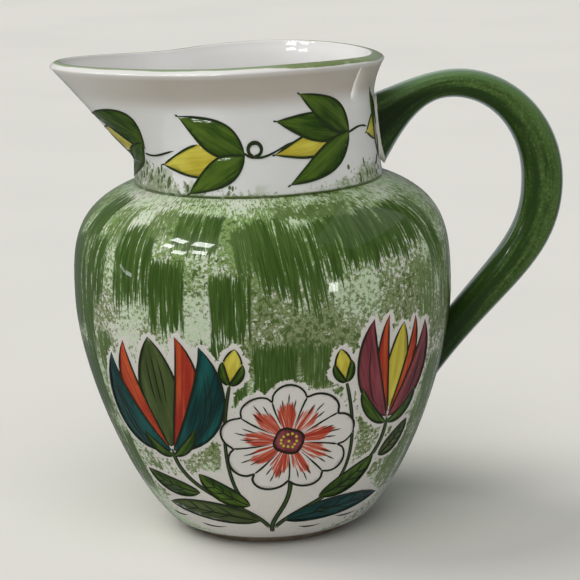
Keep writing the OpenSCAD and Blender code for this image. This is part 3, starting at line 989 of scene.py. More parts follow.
# What the finish reads at each point of the belly, with both poles at the end
def addGround(belly, s, run, turn):
    outer = run >= 0
    outside = np.where(outer, smooth(*s["starts"], run), 0)
    flat = np.column_stack([np.radians(wrapTurn(turn - design["turn"])) * radiusAt(run), run - design["run"]])
    front = outer & (np.abs(flat[:, 0]) < s["designSide"])
    away = np.full(len(run), s["farAway"])
    away[front] = awayFromFlowers(flat[front], s["farAway"])
    x, y, wide, tall = design["lowWhite"]
    lowWhite = 1 - ((flat[:, 0] - x) / wide) ** 2 - ((flat[:, 1] - y) / tall) ** 2
    reserve = smooth(0, design["margin"] * 2, away) * (1 - smooth(*design["lowWhiteFade"], lowWhite))
    sponge = s["level"] + s["wave"] * np.sin(np.radians(turn * s["waves"] + s["waveTurn"]))
    for low, high, change in s["thins"]:
        sponge = sponge + change * smooth(low, high, run)
    for atTurn, atRun, wide, change in spongeMoods:
        off = np.radians(wrapTurn(turn - atTurn)) * radiusAt(atRun)
        sponge = sponge + change * np.exp(-(off ** 2 + (run - atRun) ** 2) / wide ** 2)
    across, along, lean = spongeFlecks
    twist = np.radians(turn + lean * run)
    fleck = np.column_stack([across * np.sin(twist), -across * np.cos(twist), along * run])
    for name, values in (("outside", outside), ("reserve", reserve), ("run", run),
                         ("sponge", np.clip(sponge, s["least"], 1)), ("fleck", fleck)):
        addValues(belly, name, np.concatenate([values, 0 * values[:2]]))


def buildBelly(f):
    outer = resample(outline, f["ringStep"])
    outerRuns = runAlong(outer)
    rings = bellyRings(f, outer)
    first = f["underRings"]
    turns = 90 + 360 * np.arange(f["columns"] + 1) / f["columns"]
    poles = [[0, 0, f["footHeight"]], [0, 0, f["footHeight"] + f["floor"]]]
    points, faces = closedLoft([round3d(turns[:-1], r, z) for r, z in rings], poles)
    belly = newPiece("painted_belly", points, faces, bellyFinish(bellyLook))
    run = np.full(len(rings), -1.0)
    run[first:first + len(outer)] = outerRuns
    addGround(belly, sponging, np.repeat(run, f["columns"]), np.tile(wrapTurn(turns[:-1]), len(rings)))
    start = first * f["columns"] * 4
    for k, layer in enumerate(strokeValues(frontStrokes + backStrokes(), turns, outerRuns, outer[:, 0])):
        values = np.tile(noStroke, (len(belly.data.loops), 1))
        values[start:start + layer.size // 3] = layer.reshape(-1, 3)
        addValues(belly, f"dab{k}", values, "CORNER")
    return finishPiece(belly, "belly_glaze", "belly")


buildBelly(bellyForm)


# Neck, spout and lip

neckLook = {
    "grain": (520, 4, 0.62), "dabs": (430, 3, 0.62), "upright": 0.62, "patch": (110, 2), "patchWeight": 0.6,
    "clay": (30, 2), "clayShade": (0.3, 0.7), "underLipShade": (22, 2), "underLipShadeShare": (0.2, 0.8, 0.75, 1.0),
    "lip": (1.0, 30.0), "present": (0.0, 0.3),
    "washWeight": 0.5, "wash": (0.40, 0.62), "washShare": 0.75,
    "speckWeight": 0.34, "speck": (0.48, 0.58), "speckShare": 0.8,
    "darkWeight": 0.24, "dark": (0.585, 0.66), "darkShare": 0.85,
    "corner": (1.35, 0.75), "cornerDrift": (0.9, 60, 3), "cornerBreaks": (140, 2),
    "rimDrift": (60.0, 45, 3), "rimInner": (-8.0, 8.0), "rimOuter": (-6.0, 6.0), "rimBreaks": (300, 2),
    "breaks": (0.25, 0.5)}


def neckFinish(f):
    m = Finish("neckGlaze")
    place = m.place()
    sponge, lip, low = (m.attribute(k) for k in ("sponge", "lip", "low"))
    rimFrom, rimTo, rimDeep = m.split(m.attribute("rim", "Vector"))
    clay = m.mix(m.step(m.noise(place, *f["clay"]), *f["clayShade"]), paint["neckWhite"], paint["neckShade"])
    # A darker warm tone under the lip: painted shade
    underLipShade = m.attribute("underLipShade") * m.step(m.noise(place, *f["underLipShade"]), *f["underLipShadeShare"])
    clay = m.mix(underLipShade, clay, paint["underLipShade"])
    # A brighter white on the lip's band: painted light
    clay = m.mix(m.step(lip, *f["lip"]), clay, paint["lip"])

    upright = m.put("ShaderNodeMapping", {"Vector": place, "Scale": (1, 1, f["upright"])})
    dabs = m.noise(upright, *f["dabs"])
    grain, patch = m.noise(place, *f["grain"]), m.noise(place, *f["patch"])
    level = (patch - 0.5) * f["patchWeight"] + (sponge - 0.5)
    present = m.step(sponge, *f["present"])
    wash = m.step(level * f["washWeight"] + patch, *f["wash"])
    speck = m.step(level * f["speckWeight"] + grain, *f["speck"])
    dark = m.step(level * f["darkWeight"] + dabs, *f["dark"])
    colour = m.mix(wash * present * f["washShare"], clay, paint["neckWash"])
    colour = m.mix(speck * present * f["speckShare"], colour, paint["neckSponge"])
    colour = m.mix(dark * present * f["darkShare"], colour, paint["neckDark"])

    corner = m.step(low + m.drift(place, *f["cornerDrift"]), *f["corner"])
    corner = corner * m.step(m.noise(place, *f["cornerBreaks"]), *f["breaks"])
    colour = m.mix(corner, colour, paint["cornerLine"])
    along = lip + m.drift(place, *f["rimDrift"])
    line = m.step(along - rimFrom, *f["rimOuter"]) * m.step(rimTo - along, *f["rimInner"])
    deep = rimDeep * m.step(m.noise(place, *f["rimBreaks"]), *f["breaks"])
    return m.glaze(m.mix(line, colour, m.mix(deep, paint["rimLine"], paint["rimDark"])))


# Sponging (turn, strength, reach up in mm) and the rim line (turn, first and last lip angle, depth)
neckSponge = np.array([
    (-180, 0.5, 11), (-100, 0.55, 13), (-74, 0.75, 17), (-60, 0.85, 16), (-46, 0.6, 11), (-30, 0.55, 9),
    (-10, 0.4, 7), (6, 0.25, 5), (30, 0.4, 7), (45, 0.6, 12), (70, 0.6, 14), (95, 0.5, 11), (180, 0.5, 11)]).T
spongeThins = (0.3, 1.1)           # the shares of its reach between which it thins out
rimBand = np.array([
    (-180, 95, 135, 0.0), (-130, 92, 138, 0.0), (-100, 75, 140, 0.0), (-40, 72, 138, 0.0), (0, 68, 138, 0.1),
    (12, 34, 140, 0.85), (30, 28, 142, 1.0), (50, 30, 142, 0.8), (60, 30, 140, 0.15), (105, 40, 140, 0.1),
    (120, 90, 138, 0.0), (180, 95, 135, 0.0)]).T
# Painted shade under the lip of the round neck, a darker warm tone: heights above the corner
underLipShadeBand = {"starts": (33, 41), "ends": (49.2, 50), "lessAtSpout": 0.65}
sheltered = 60.0                   # stands for the height above the corner on the lip and inside


def neckRings(f, turns):
    heights = np.linspace(f["baseHeight"], f["lipHeight"],
                          int((f["lipHeight"] - f["baseHeight"]) / f["ringStep"]) + 1)
    lipWall = f["lipWall"] + (f["tipWall"] - f["lipWall"]) * spoutShare(turns)
    level = 0 * turns
    rings = [(neckPoint(turns, h + level), -90.0, h - f["baseHeight"]) for h in heights]
    for k in range(1, f["lipRings"]):
        a = math.pi * k / f["lipRings"]
        across = (1 - math.cos(a)) / 2
        rise = f["lipRound"] * math.sin(a) + f["lipSlope"] * across
        ring = neckPoint(turns, f["lipHeight"] + level, lipWall * across, rise)
        rings.append((ring, math.degrees(a), sheltered))
    for h in heights[::-1]:
        share = float(smooth(f["waistHeight"], f["lipHeight"], h))
        wall = f["wall"] + (lipWall - f["wall"]) * share
        rings.append((neckPoint(turns, h + level, wall, f["lipSlope"] * share), 270.0, sheltered))
    points, lips, lows = zip(*rings)
    lips = np.array(lips)
    lips[len(heights) - 1] = 0
    lips[len(heights) + f["lipRings"] - 1] = 180
    return points, lips, np.array(lows)


def buildNeck(f):
    turns = 90 + 360 * np.arange(f["columns"]) / f["columns"]
    rings, lips, lows = neckRings(f, turns)
    faces = loftFaces(len(rings) + 1, len(turns)) % (len(rings) * len(turns))
    neck = newPiece("painted_neck", np.concatenate(rings), faces, neckFinish(neckLook))
    lip, low = np.repeat(lips, len(turns)), np.repeat(lows, len(turns))
    turn = np.tile(wrapTurn(turns), len(rings))
    strength, reach = (np.interp(turn, neckSponge[0], neckSponge[k]) for k in (1, 2))
    sponge = strength * (1 - smooth(*spongeThins, low / reach))
    rim = np.column_stack([np.interp(turn, rimBand[0], rimBand[k]) for k in (1, 2, 3)])
    underLipShade = smooth(*underLipShadeBand["starts"], low) * (1 - smooth(*underLipShadeBand["ends"], low))
    underLipShade = underLipShade * (1 - underLipShadeBand["lessAtSpout"] * spoutShare(turn))
    for name, values in (("lip", lip), ("low", low), ("sponge", sponge), ("rim", rim), ("underLipShade", underLipShade)):
        addValues(neck, name, values)
    return finishPiece(neck, "neck_glaze", "neck_and_spout")


buildNeck(neckForm)


# Handle, an oval swept along three curves and cut to the neck and the belly

handleForm = {
    "rootHeight": 169.6, "rootSink": 6.3, "rootAngle": 35, "rootPull": 17.5,
    "topX": 85.5, "topHeight": 189.5, "topPullIn": 15.5, "topPullOut": 21,
    "sideX": 124.8, "sideHeight": 146, "sidePullUp": 24.8, "sidePullDown": 35.4,
    "footHeight": 52.7, "footSink": 9.2, "footAngle": 55, "footPull": 62.2,
    "topThick": 11.3, "gripThick": 18.2, "footThick": 13.1, "width": 17, "gripShares": (0.12, 0.52),
    "footShares": (0.46, 0.97), "flareThick": 21.7, "flareWidth": 6, "flareShare": 0.19, "oval": 2.3,
    "searchShares": ((0.0, 0.12), (1.0, 0.80)), "halvings": 30, "rootEase": (0, 0.2), "footEase": (0.75, 1),
    "rings": 130, "columns": 48, "seat": 0.9}


def handlePath(f):
    root = np.array([neckRadius(f["rootHeight"]) - f["rootSink"], f["rootHeight"]])
    top = np.array([f["topX"], f["topHeight"]])
    side = np.array([f["sideX"], f["sideHeight"]])
    foot = np.array([radiusAt(runAtHeight(f["footHeight"])) - f["footSink"], f["footHeight"]])
    rise = bezier(root, root + f["rootPull"] * heading(f["rootAngle"]), top - [f["topPullIn"], 0], top, 60)
    over = bezier(top, top + [f["topPullOut"], 0], side + [0, f["sidePullUp"]], side, 60)
    pull = foot + f["footPull"] * heading(f["footAngle"])
    down = bezier(side, side - [0, f["sidePullDown"]], pull, foot, 60)
    return resample(np.concatenate([rise, over[1:], down[1:]]), curveStep)


# On the handle x is 1 on the outer side and -1 on the inner side, and z is cm along it from the root.
# The glaze stops short of the root and leaves a white pad on the neck, with sizes in mm.
handleLook = {
    "broad": (3.2, 0.25, 3, 0.55), "streak": (17, 0.5, 3, 0.6), "grain": (900, 3, 0.65),
    "weights": (0.25, 0.55, 0.2), "mid": (0.47, 0.66),
    "highlightSide": 0.35, "highlight": (0.75, 0.0), "highlightFrom": (2.0, 5.0), "highlightTo": (21.0, 13.0), "highlightWeight": 0.12,
    "highlightFleckGrain": (0.48, 0.66), "highlightFleck": (0.52, 0.66), "highlightFleckShare": 0.6,
    "shadeFrom": (14.5, 21.0), "shadeSide": (0.8, -0.3, 0.40, 0.90),
    "rootTo": (5.0, 1.6), "rootOuter": (0.80, 0.20, 0.0, 0.88), "rootInner": (-0.75, -0.15, 0.30, 1.0),
    "crestFrom": (1.2, 3.2), "crestTo": (13.0, 7.0),
    "crestSide": (0.10, 0.85), "crestShare": (0.3, 0.7, 0.35, 0.80),
    "pad": 1.1, "padGrowth": 0.03, "padDrift": 1.2, "padNoise": (130, 2), "padSoft": 0.1,
    "padLow": (130, 140)}


def handleFinish(f, neck):
    m = Finish("handleGlaze")
    place = m.place()
    x, y, z = m.split(m.attribute("sweep", "Vector"))
    broad, streak = (m.noise(m.vector(x * around, y * around, z * along), 1, *rest)
                     for around, along, *rest in (f["broad"], f["streak"]))
    grain = m.noise(place, *f["grain"])
    thin = streak * f["weights"][0] + broad * f["weights"][1] + grain * f["weights"][2]
    # A lighter band along the outer middle of the handle, flecked lighter still where the grain is high:
    # painted highlight
    band = m.step(abs(x - f["highlightSide"]), *f["highlight"]) * m.step(z, *f["highlightFrom"]) * m.step(z, *f["highlightTo"])
    highlight = band * f["highlightWeight"] + thin
    colour = m.mix(m.step(highlight, *f["mid"]), paint["handleDark"], paint["handleMid"])
    highlightFleck = m.step(grain, *f["highlightFleckGrain"]) * m.step(highlight, *f["highlightFleck"]) * f["highlightFleckShare"]
    colour = m.mix(highlightFleck, colour, paint["handleHighlightFleck"])
    # Darker towards the low end, more on the inner side: painted shade
    colour = m.mix(m.step(z, *f["shadeFrom"]) * m.step(x, *f["shadeSide"]), colour, paint["handleShade"])
    # Darker near the root, below the crest: painted shade
    darkened = m.step(z, *f["rootTo"]) * m.step(x, *f["rootOuter"]) * m.step(x, *f["rootInner"])
    colour = m.mix(darkened, colour, paint["handleRootShade"])
    # Lighter along the outer crest of the handle's upper part: painted highlight
    crest = m.step(z, *f["crestFrom"]) * m.step(z, *f["crestTo"]) * m.step(x, *f["crestSide"])
    colour = m.mix(crest * m.step(broad, *f["crestShare"]), colour, paint["handleCrestHighlight"])

    px, py, pz = m.split(place)
    down = m.calc("MAXIMUM", 0.0, neck["waistHeight"] * mm - pz)
    slope = (neck["baseRadius"] - neck["waistRadius"]) / (neck["waistHeight"] - neck["baseHeight"]) ** 2 / mm
    off = m.calc("SQRT", px * px + py * py) - (down * down * slope + neck["waistRadius"] * mm)
    pad = m.drift(place, f["padDrift"] * mm, *f["padNoise"]) + down * f["padGrowth"] + f["pad"] * mm
    white = m.step(pad - off, -f["padSoft"] * mm, f["padSoft"] * mm)
    white = white * m.step(pz, *(h * mm for h in f["padLow"]))
    return m.glaze(m.mix(white, colour, paint["white"]), streak)


def buildHandle(f):
    path = handlePath(f)
    run = runAlong(path)
    ahead = unit(np.gradient(path, axis=0))
    columns = f["columns"]
    turn = 2 * math.pi * np.arange(columns) / columns

    def oval(v):
        return np.sign(v) * np.abs(v) ** (2 / f["oval"])

    def sweepPoint(share):
        at = share * run[-1]
        px, pz = (np.interp(at, run, path[:, k]) for k in (0, 1))
        ux, uz = (np.interp(at, run, ahead[:, k]) for k in (0, 1))
        flare = np.maximum(0, 1 - share / f["flareShare"]) ** 2
        thick = f["topThick"] + f["flareThick"] * flare
        thick = thick + (f["gripThick"] - f["topThick"]) * smooth(*f["gripShares"], share)
        thick = thick + (f["footThick"] - f["gripThick"]) * smooth(*f["footShares"], share)
        wide = f["width"] + f["flareWidth"] * flare
        out = thick / 2 * oval(np.cos(turn))
        return np.stack([px - uz * out, -wide / 2 * oval(np.sin(turn)), pz + ux * out], -1)

    def depth(p, end):
        reach = np.hypot(p[:, 0], p[:, 1])
        return reach - (neckRadius(p[:, 2]) if end == 0 else radiusAt(runAtHeight(p[:, 2])))

    # Where each line of the sweep comes out of the neck and goes into the belly
    ends = []
    for end, (inside, clear) in enumerate(f["searchShares"]):
        a, b = np.full(columns, inside), np.full(columns, clear)
        for _ in range(f["halvings"]):
            middle = (a + b) / 2
            buried = depth(sweepPoint(middle), end) < -f["seat"]
            a, b = np.where(buried, middle, a), np.where(buried, b, middle)
        ends.append((a + b) / 2)
    t = np.linspace(0, 1, f["rings"])[:, None]
    shares = t + ends[0] * (1 - smooth(*f["rootEase"], t)) - (1 - ends[1]) * smooth(*f["footEase"], t)
    rings = [sweepPoint(share) for share in shares]
    points, faces = closedLoft(rings, [rings[0].mean(0), rings[-1].mean(0)])
    caps = np.arange(len(faces)) >= len(faces) - 2 * columns
    handle = newPiece("painted_handle", points, faces, handleFinish(handleLook, neckForm), ~caps)
    around = np.tile(np.column_stack([np.cos(turn), np.sin(turn)]), (len(rings), 1))
    sweep = np.column_stack([around, shares.ravel() * run[-1] / 10])
    addValues(handle, "sweep", np.concatenate([sweep, [[0, 0, 0], [0, 0, run[-1] / 10]]]))
    return finishPiece(handle, "handle_glaze", "handle")


buildHandle(handleForm)


# Painted fills: brushed colour, darker where the paint pooled, streaked along the petal or leaf.
# Noise is cycles across and along, detail and roughness, in units of the shape's half width and its length.
brushLook = {
    "apart": 61.0, "broad": (1.7, 1.6, 2), "hair": (8.5, 1.8, 3, 0.6), "broadWeight": 0.6, "hairWeight": 0.4,
    "pool": (0.5, 1.05), "poolWeight": 0.07, "light": (0.36, 0.64)}


def brushedPaint(name, dark, light, f=brushLook):
    m = Finish(name)
    across, along, seed = m.split(m.attribute("brush", "Vector"))
    far = seed * f["apart"]
    broad, hair = (m.noise(m.vector(across * wide + far, along * long, far), 1, *rest)
                   for wide, long, *rest in (f["broad"], f["hair"]))
    darkened = m.step(abs(across), *f["pool"]) * f["poolWeight"]
    tone = broad * f["broadWeight"] + hair * f["hairWeight"] - darkened
    return m.glaze(m.mix(m.step(tone, *f["light"]), dark, light), hair)


# White petals with dry red-orange dabs that run out from the heart: reach is a share of the flower's radius
daisyLook = {
    "hair": (13.0, 1.2, 3, 0.65), "reach": 0.22, "reachLobe": 0.26, "reachHair": 0.42, "soft": (-0.02, 0.05),
    "dry": (0.36, 0.44), "notch": (0.10, 0.35), "deep": (0.42, 0.62)}


def daisyPaint(f, flower):
    m = Finish("daisyPaint")
    across, along, seed = m.split(m.attribute("brush", "Vector"))
    radius = m.calc("SQRT", across * across + along * along)
    turn = m.calc("ARCTAN2", along, across)
    lobe = abs(m.calc("COSINE", (turn - math.radians(flower["tilt"])) * (flower["petals"] / 2)))
    around, outwards, *rest = f["hair"]
    x, y = (m.calc(k, turn) * around for k in ("COSINE", "SINE"))
    hair = m.noise(m.vector(x, y, radius * outwards), 1, *rest)
    reach = lobe * f["reachLobe"] + hair * f["reachHair"] + f["reach"]
    dab = m.step(reach - radius, *f["soft"]) * m.step(hair, *f["dry"]) * m.step(lobe, *f["notch"])
    red = m.mix(m.step(hair, *f["deep"]), paint["daisyRed"], paint["daisyDeep"])
    return m.glaze(m.mix(dab, paint["white"], red), hair)


fillPaints = {
    "teal": brushedPaint("tealPaint", (0.001, 0.034, 0.032), (0.008, 0.115, 0.105)),
    "redOrange": brushedPaint("redOrangePaint", (0.38, 0.026, 0.012), (0.66, 0.110, 0.026)),
    "olive": brushedPaint("olivePaint", (0.048, 0.078, 0.016), (0.105, 0.150, 0.042)),
    "maroon": brushedPaint("maroonPaint", (0.170, 0.030, 0.042), (0.34, 0.078, 0.095)),
    "yellow": brushedPaint("yellowPaint", (0.58, 0.48, 0.040), (0.80, 0.72, 0.11)),
    "leaf": brushedPaint("leafPaint", (0.022, 0.062, 0.003), (0.100, 0.180, 0.018)),
    "daisy": daisyPaint(daisyLook, flowers["daisy"])}
blackPaint = brushedPaint("linePaint", (0.010, 0.016, 0.007), (0.022, 0.030, 0.012))
stemPaint = brushedPaint("stemPaint", (0.020, 0.050, 0.008), (0.070, 0.120, 0.025))
vinePaint = brushedPaint("vineLinePaint", (0.014, 0.030, 0.006), (0.034, 0.056, 0.016))
daubPaint = brushedPaint("daubPaint", (0.080, 0.125, 0.035), (0.15, 0.21, 0.080))
lineNodes = lineTree()
daubNodes = daubTree()


# Fills of one colour make one piece, and so do lines of one kind
def layPaint(name, paintings, slot, lines):
    for colour, material in fillPaints.items():
        shapes = [s for painting in paintings for s in painting.shapes if s["colour"] == colour]
        if shapes:
            paintFilm(f"{name}_{colour}", shapes, material, slot)
    for kind, (material, relief) in lines.items():
        drawn = LineSet()
        for painting in paintings:
            painting.giveLines(kind, drawn)
        if drawn.count:
            sweepLines(f"{name}_{kind}_lines", drawn, lineNodes, material, slot, relief)


layPaint("flower", [flowerPainting], "belly_glaze", {"black": (blackPaint, 0.9), "stem": (stemPaint, 0.22)})

# Yellow dots in a ring round the daisy's heart, and one in its middle: degrees and mm
heartDots = {"around": 11, "swing": 6, "reach": (2.4, 3.9), "size": (1.15, 1.25, 0.5)}


def dotHeart(f):
    heart = np.array(flowers["daisy"]["middle"])
    dots = []
    for k in range(f["around"]):
        angle = 360 * k / f["around"] + chance.uniform(-f["swing"], f["swing"])
        dots.append(heart + heading(angle) * chance.uniform(*f["reach"]))
    placeDaubs("flower_heart_dots", [daubSpots(onDesign, [*dots, heart], *f["size"])],
               daubNodes, fillPaints["yellow"], "belly_glaze")


dotHeart(heartDots)


# Leaf vine round the neck: buds with a turn and height for the stem end, and petals in mm from there

vineScale = 50.9                   # mm, radius that sets mm per degree
wideBud = [
    ("yellow", (-5, 0), (-37.5, -4.5), 8.8, 0, (0.45, 1)), ("leaf", (0, 0), (-29, 16), 8.4, -1.2, (0, 1)),
    ("leaf", (0, 0), (-23.8, -15.6), 7.2, -0.2, (0, 1))]
openBud = [
    ("yellow", (-7, -1), (-36, -6), 6.2, 0, (0.3, 1)), ("leaf", (-3, 1), (-35, 7), 7.2, 0, (0.2, 1)),
    ("leaf", (0, 0), (-25, 17), 7.2, -1.8, (0, 1)), ("leaf", (0, 0), (-30.5, -18.5), 7.0, 2.0, (0, 1))]
edgeBud = [
    ("yellow", (3, 6.0), (-15.2, 3.4), 7.4, 0, (0.2, 1)),
    ("leaf", (-2, -9.5), (-9.8, 20.5), 5.4, -6.0, (0, 1))]
spoutBud = [
    ("yellow", (-2, 1), (-22, 6.5), 7.8, 0, (0.2, 1)), ("leaf", (1.0, 0.5), (-19.1, 13.1), 8.2, -6.8, (0, 1)),
    ("leaf", (0.8, 3.3), (-22.7, -13.9), 4.9, 1.3, (0, 1))]
vineBuds = [
    (-64.1, 170.7, spoutBud), (-11, 170, wideBud), (43, 176, openBud), (75, 170.5, edgeBud),
    (146, 170, wideBud), (-171, 174, openBud), (-118, 170, wideBud)]
vineStems = [
    [(-64, 169.5), (-58, 167.5), (-52, 170.5), (-46.5, 171.5)],
    [(42, 175.5), (48, 177), (52, 178.2), (59, 176.2)],
    [(69, 163.5), (68, 160.5), (66.5, 160.5), (64.5, 159.5)],
    [(-11.5, 171.5), (-9.3, 169.6), (-7, 168.8), (-4.6, 169.8)],
    [(-7.2, 169.6), (-1.5, 168.2), (4, 172.4), (11.5, 174.8)],
    [(146, 170), (151, 167), (154, 168.5), (157, 171)],
    [(-171, 174), (-167, 172), (-162, 168), (-151, 170)],
    [(-118, 170), (-112, 168), (-106, 172), (-93, 176)],
    [(99, 172), (103, 170), (105, 171), (109, 168)]]
vineLoop = {"turn": -6.4, "height": 172.6, "radius": 2.7, "span": (-100, 262), "width": 1.5}
# Widths of its lines, and how far one runs out past a petal's tip, in mm
vineLines = {"petal": 0.9, "tip": 0.8, "tipReach": 1.2, "stem": 0.85}


def neckSpot(turn, height):
    def place(points, lift=0):
        return onNeck(turn + np.degrees(points[:, 0] / vineScale), height + points[:, 1], lift)
    return place


def neckDegrees(points, lift=0):
    return onNeck(points[:, 0], points[:, 1], lift)


def paintVine(f, loop):
    paintings = []
    for turn, height, bud in vineBuds:
        painting = Painting(neckSpot(turn, height))
        for colour, base, tip, half, bend, shares in bud:
            painting.fill(colour, petal(base, tip, half, bend, 0.2, 0.5), f["petal"], shares)
            over = unit(np.subtract(tip, base)) * f["tipReach"]
            painting.line(np.array([tip - over * 0.5, tip + over]), f["tip"], (0.1, 0.5))
        paintings.append(painting)
    stems = Painting(neckDegrees)
    for path in vineStems:
        stems.line(bezier(*path, 40), f["stem"], (0.06, 0.2))
    turns = np.radians(np.linspace(*loop["span"], 50))
    wide = np.degrees(loop["radius"] / vineScale)
    ring = np.column_stack([loop["turn"] + wide * np.cos(turns),
                            loop["height"] + loop["radius"] * np.sin(turns)])
    stems.line(ring, loop["width"], (0.02, 0.02))
    return [*paintings, stems]


layPaint("vine", paintVine(vineLines, vineLoop), "neck_glaze", {"black": (vinePaint, 0.7)})


# Loose upright dabs on the lowest part of the neck: first and last turn, first and last height, how many
neckDabs = [(-58, -47, 156, 165, 9), (-72, -60, 156, 165, 4), (34, 70, 155, 163, 8), (-42, -12, 155, 158, 4),
            (88, 180, 155, 162, 9), (-180, -90, 155, 162, 9)]
dabSize = {"width": (0.8, 1.5), "length": (1.6, 4.6), "thick": 0.2}       # mm


def scatterDabs():
    spots = []
    for first, last, low, high, count in neckDabs:
        points = np.column_stack([chance.uniform(first, last, count), chance.uniform(low, high, count)])
        width, length = (chance.uniform(*dabSize[k], count) for k in ("width", "length"))
        spots.append(daubSpots(neckDegrees, points, width, length, dabSize["thick"]))
    placeDaubs("neck_dabs", spots, daubNodes, daubPaint, "neck_glaze")


scatterDabs()


# Foot ring: the bare clay of the CAD node, rubbed and slightly stained

clayLook = {
    "stain": (120, 3), "stained": (0.35, 0.7), "grain": (900, 4, 0.7), "grit": (0.52, 0.7), "gritShare": 0.5,
    "rough": 0.85, "deep": 0.00012, "relief": 0.6}


def clayFinish(f):
    m = Finish("bareClay")
    place = m.place()
    grain, stain = m.noise(place, *f["grain"]), m.noise(place, *f["stain"])
    colour = m.mix(m.step(stain, *f["stained"]), paint["clay"], paint["clayStain"])
    colour = m.mix(m.step(grain, *f["grit"]) * f["gritShare"], colour, paint["clayGrit"])
    bump = m.bump(grain, f["deep"], f["relief"])
    return m.surface({"Base Color": colour, "Roughness": f["rough"], "Normal": bump})


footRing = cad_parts["foot_ring"]
footRing.data.materials.clear()
footRing.data.materials.append(clayFinish(clayLook))


# Table and light. Glow is radiance, and for panels and walls it is a share of panelGlow.

studio = {
    "floor": (0.82, 0.82, 0.79), "floorShade": 0.97, "floorNoise": (3, 3), "floorTone": (0.3, 0.7),
    "floorRadius": 6.0, "floorRough": 0.6,
    "world": (0.94, 0.97, 1.0), "worldStrength": 0.17,
    "suns": [((-0.60, 0.25, 0.76), 1.5, 40), ((-0.10, -0.45, 0.89), 1.3, 50)],    # from, power, degrees wide
    "sunColour": (1, 0.97, 0.93), "mouthColour": (0.93, 0.97, 1.0), "wallColour": (0.86, 0.94, 1.0),
    "panelAway": 1.6, "panelGlow": 20, "panelColour": (1, 1, 1)}
# Place, what it faces, size and glow: a lamp in the mouth, and pale walls that only the handle mirrors
mouthLamp = ((0.002, -0.014, 0.2), (0.040, 0.050, 0.190), (0.09, 0.02), 1.15)
paleWalls = [
    ((0, 1.2, 0.6), (0, 0, 0.6), (4.4, 4.8), 0.031), ((-1.3, 0.4, 0.3), (0, 0.4, 0.3), (2.4, 2.0), 0.085)]
# Small bright panels, each set where the glaze mirrors it to the camera from a place on the belly:
# turn, run, width, height, roll and glow. The window lights the whole jug, the specks only the belly.
windowGlints = [
    (-30.9, 150.6, 0.27, 0.15, 0, 1.3), (-22.9, 149.3, 0.32, 0.20, 0, 1.3),
    (-34.3, 148.2, 0.17, 0.13, 0, 1.3), (-30.4, 145.7, 0.24, 0.14, 0, 1.3),
    (-23.8, 146.0, 0.25, 0.14, 0, 1.3)]
speckGlints = [
    (-50.0, 136.8, 0.19, 0.045, -38, 0.30), (-47.2, 135.0, 0.15, 0.075, -12, 0.42),
    (15.2, 130.1, 0.15, 0.15, 0, 1)]
# Broad faint panels, each a stack of ever smaller ones, so that it fades outwards:
# place, turn, run or height, width, height, glow and layers
sheens = [
    ("belly", 28, 152.5, 1.90, 0.95, 0.13, 6), ("belly", -27, 168.5, 0.50, 0.16, 0.26, 2),
    ("neck", -36, 178, 1.90, 0.80, 0.17, 3)]
sheenFade = 0.6                    # the share of its size that a stack loses towards its smallest layer


def addStage(s):
    m = Finish("tableTop")
    shade = tuple(s["floorShade"] * c for c in s["floor"])
    tone = m.mix(m.step(m.noise(m.place(), *s["floorNoise"]), *s["floorTone"]), s["floor"], shade)
    m.surface({"Base Color": tone, "Roughness": s["floorRough"], "Specular IOR Level": 0.0})
    turns = np.radians(np.arange(0, 360, 3.0))
    ring = np.column_stack([np.cos(turns), np.sin(turns), 0 * turns]) * s["floorRadius"] / mm
    table = newPiece("table", ring, [list(range(len(ring)))], m.material, np.array([False]))
    table.visible_glossy = False       # a dark room round the jug keeps the glaze's edges deep in colour


def addLight(name, spot, aim, size, glow, colour):
    data = bpy.data.lights.new(name, "AREA")
    data.shape = "RECTANGLE"
    data.size, data.size_y = size
    data.energy = glow * math.pi * size[0] * size[1]
    data.color = colour
    lamp = addObject(name, data)
    lamp.location = spot
    lamp.rotation_euler = (Vector(aim) - Vector(spot)).to_track_quat("-Z", "Y").to_euler()
    return lamp


def onlyFor(piece):
    receivers = bpy.data.collections.new(f"{piece}_only")
    receivers.objects.link(bpy.data.objects[piece])
    return receivers


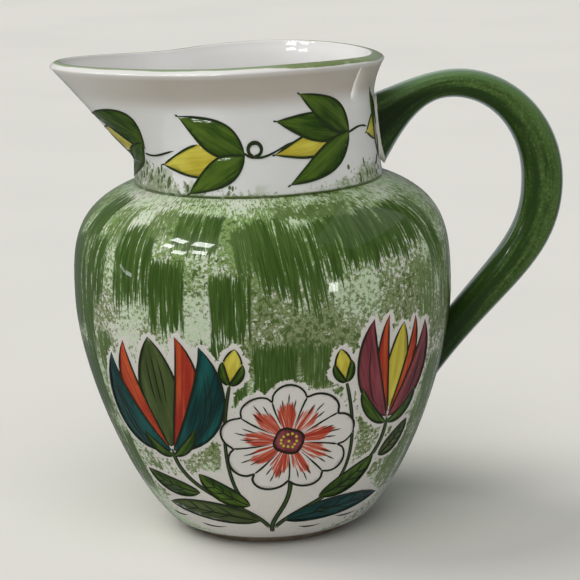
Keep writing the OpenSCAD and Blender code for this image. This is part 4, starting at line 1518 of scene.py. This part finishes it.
# A panel that the surface at a place mirrors to the camera, unseen by soft paint
def addPanel(s, name, place, turn, height, size, glow, receivers, roll=0):
    at, over = (Vector(place(np.array(turn), np.array(height), lift)) * mm for lift in (0, 1))
    out = (over - at).normalized()
    view = (eye.matrix_world.translation - at).normalized()
    mirror = 2 * out.dot(view) * out - view
    panel = addLight(name, at + mirror * s["panelAway"], at, size, glow * s["panelGlow"], s["panelColour"])
    panel.rotation_euler.rotate_axis("Z", math.radians(roll))
    panel.visible_diffuse = False
    if receivers:
        panel.light_linking.receiver_collection = receivers


def addPanels(s):
    only = {"belly": onlyFor("painted_belly"), "neck": onlyFor("painted_neck")}
    for k, (turn, run, wide, tall, roll, glow) in enumerate([*windowGlints, *speckGlints]):
        receivers = None if k < len(windowGlints) else only["belly"]
        addPanel(s, f"panel{k}", onBelly, turn, run, (wide, tall), glow, receivers, roll)
    for k, (place, turn, height, wide, tall, glow, layers) in enumerate(sheens):
        for j in range(layers):
            share = 1 - sheenFade * j / layers
            addPanel(s, f"sheen{k}_{j}", onBelly if place == "belly" else onNeck, turn, height,
                     (wide * share, tall * share), glow / layers, only[place])


def addWalls(s):
    receivers = onlyFor("painted_handle")
    for k, (spot, aim, size, glow) in enumerate(paleWalls):
        wall = addLight(f"wall{k}", spot, aim, size, glow * s["panelGlow"], s["wallColour"])
        wall.visible_diffuse = wall.visible_camera = False
        wall.light_linking.receiver_collection = receivers


# A faint unseen lamp in the mouth stands for the bright ceiling that lights the lining
def addMouthLamp(s):
    lamp = addLight("mouth", *mouthLamp, s["mouthColour"])
    lamp.visible_camera = lamp.visible_glossy = False


def addSuns(s):
    for k, (towards, power, wide) in enumerate(s["suns"]):
        data = bpy.data.lights.new(f"sun{k}", "SUN")
        data.energy, data.angle, data.color = power, math.radians(wide), s["sunColour"]
        sun = addObject(f"sun{k}", data)
        sun.rotation_euler = Vector(towards).to_track_quat("Z", "Y").to_euler()
        sun.visible_glossy = False


def addWorld(s):
    world = bpy.data.worlds.new("studio")
    world.use_nodes = True
    back = world.node_tree.nodes["Background"]
    back.inputs["Color"].default_value = (*s["world"], 1)
    back.inputs["Strength"].default_value = s["worldStrength"]
    bpy.context.scene.world = world


for addPart in (addStage, addWorld, addSuns, addMouthLamp, addPanels, addWalls):
    addPart(studio)
print("made the stage and the light")
bpy.context.scene.view_settings.view_transform = "Standard"
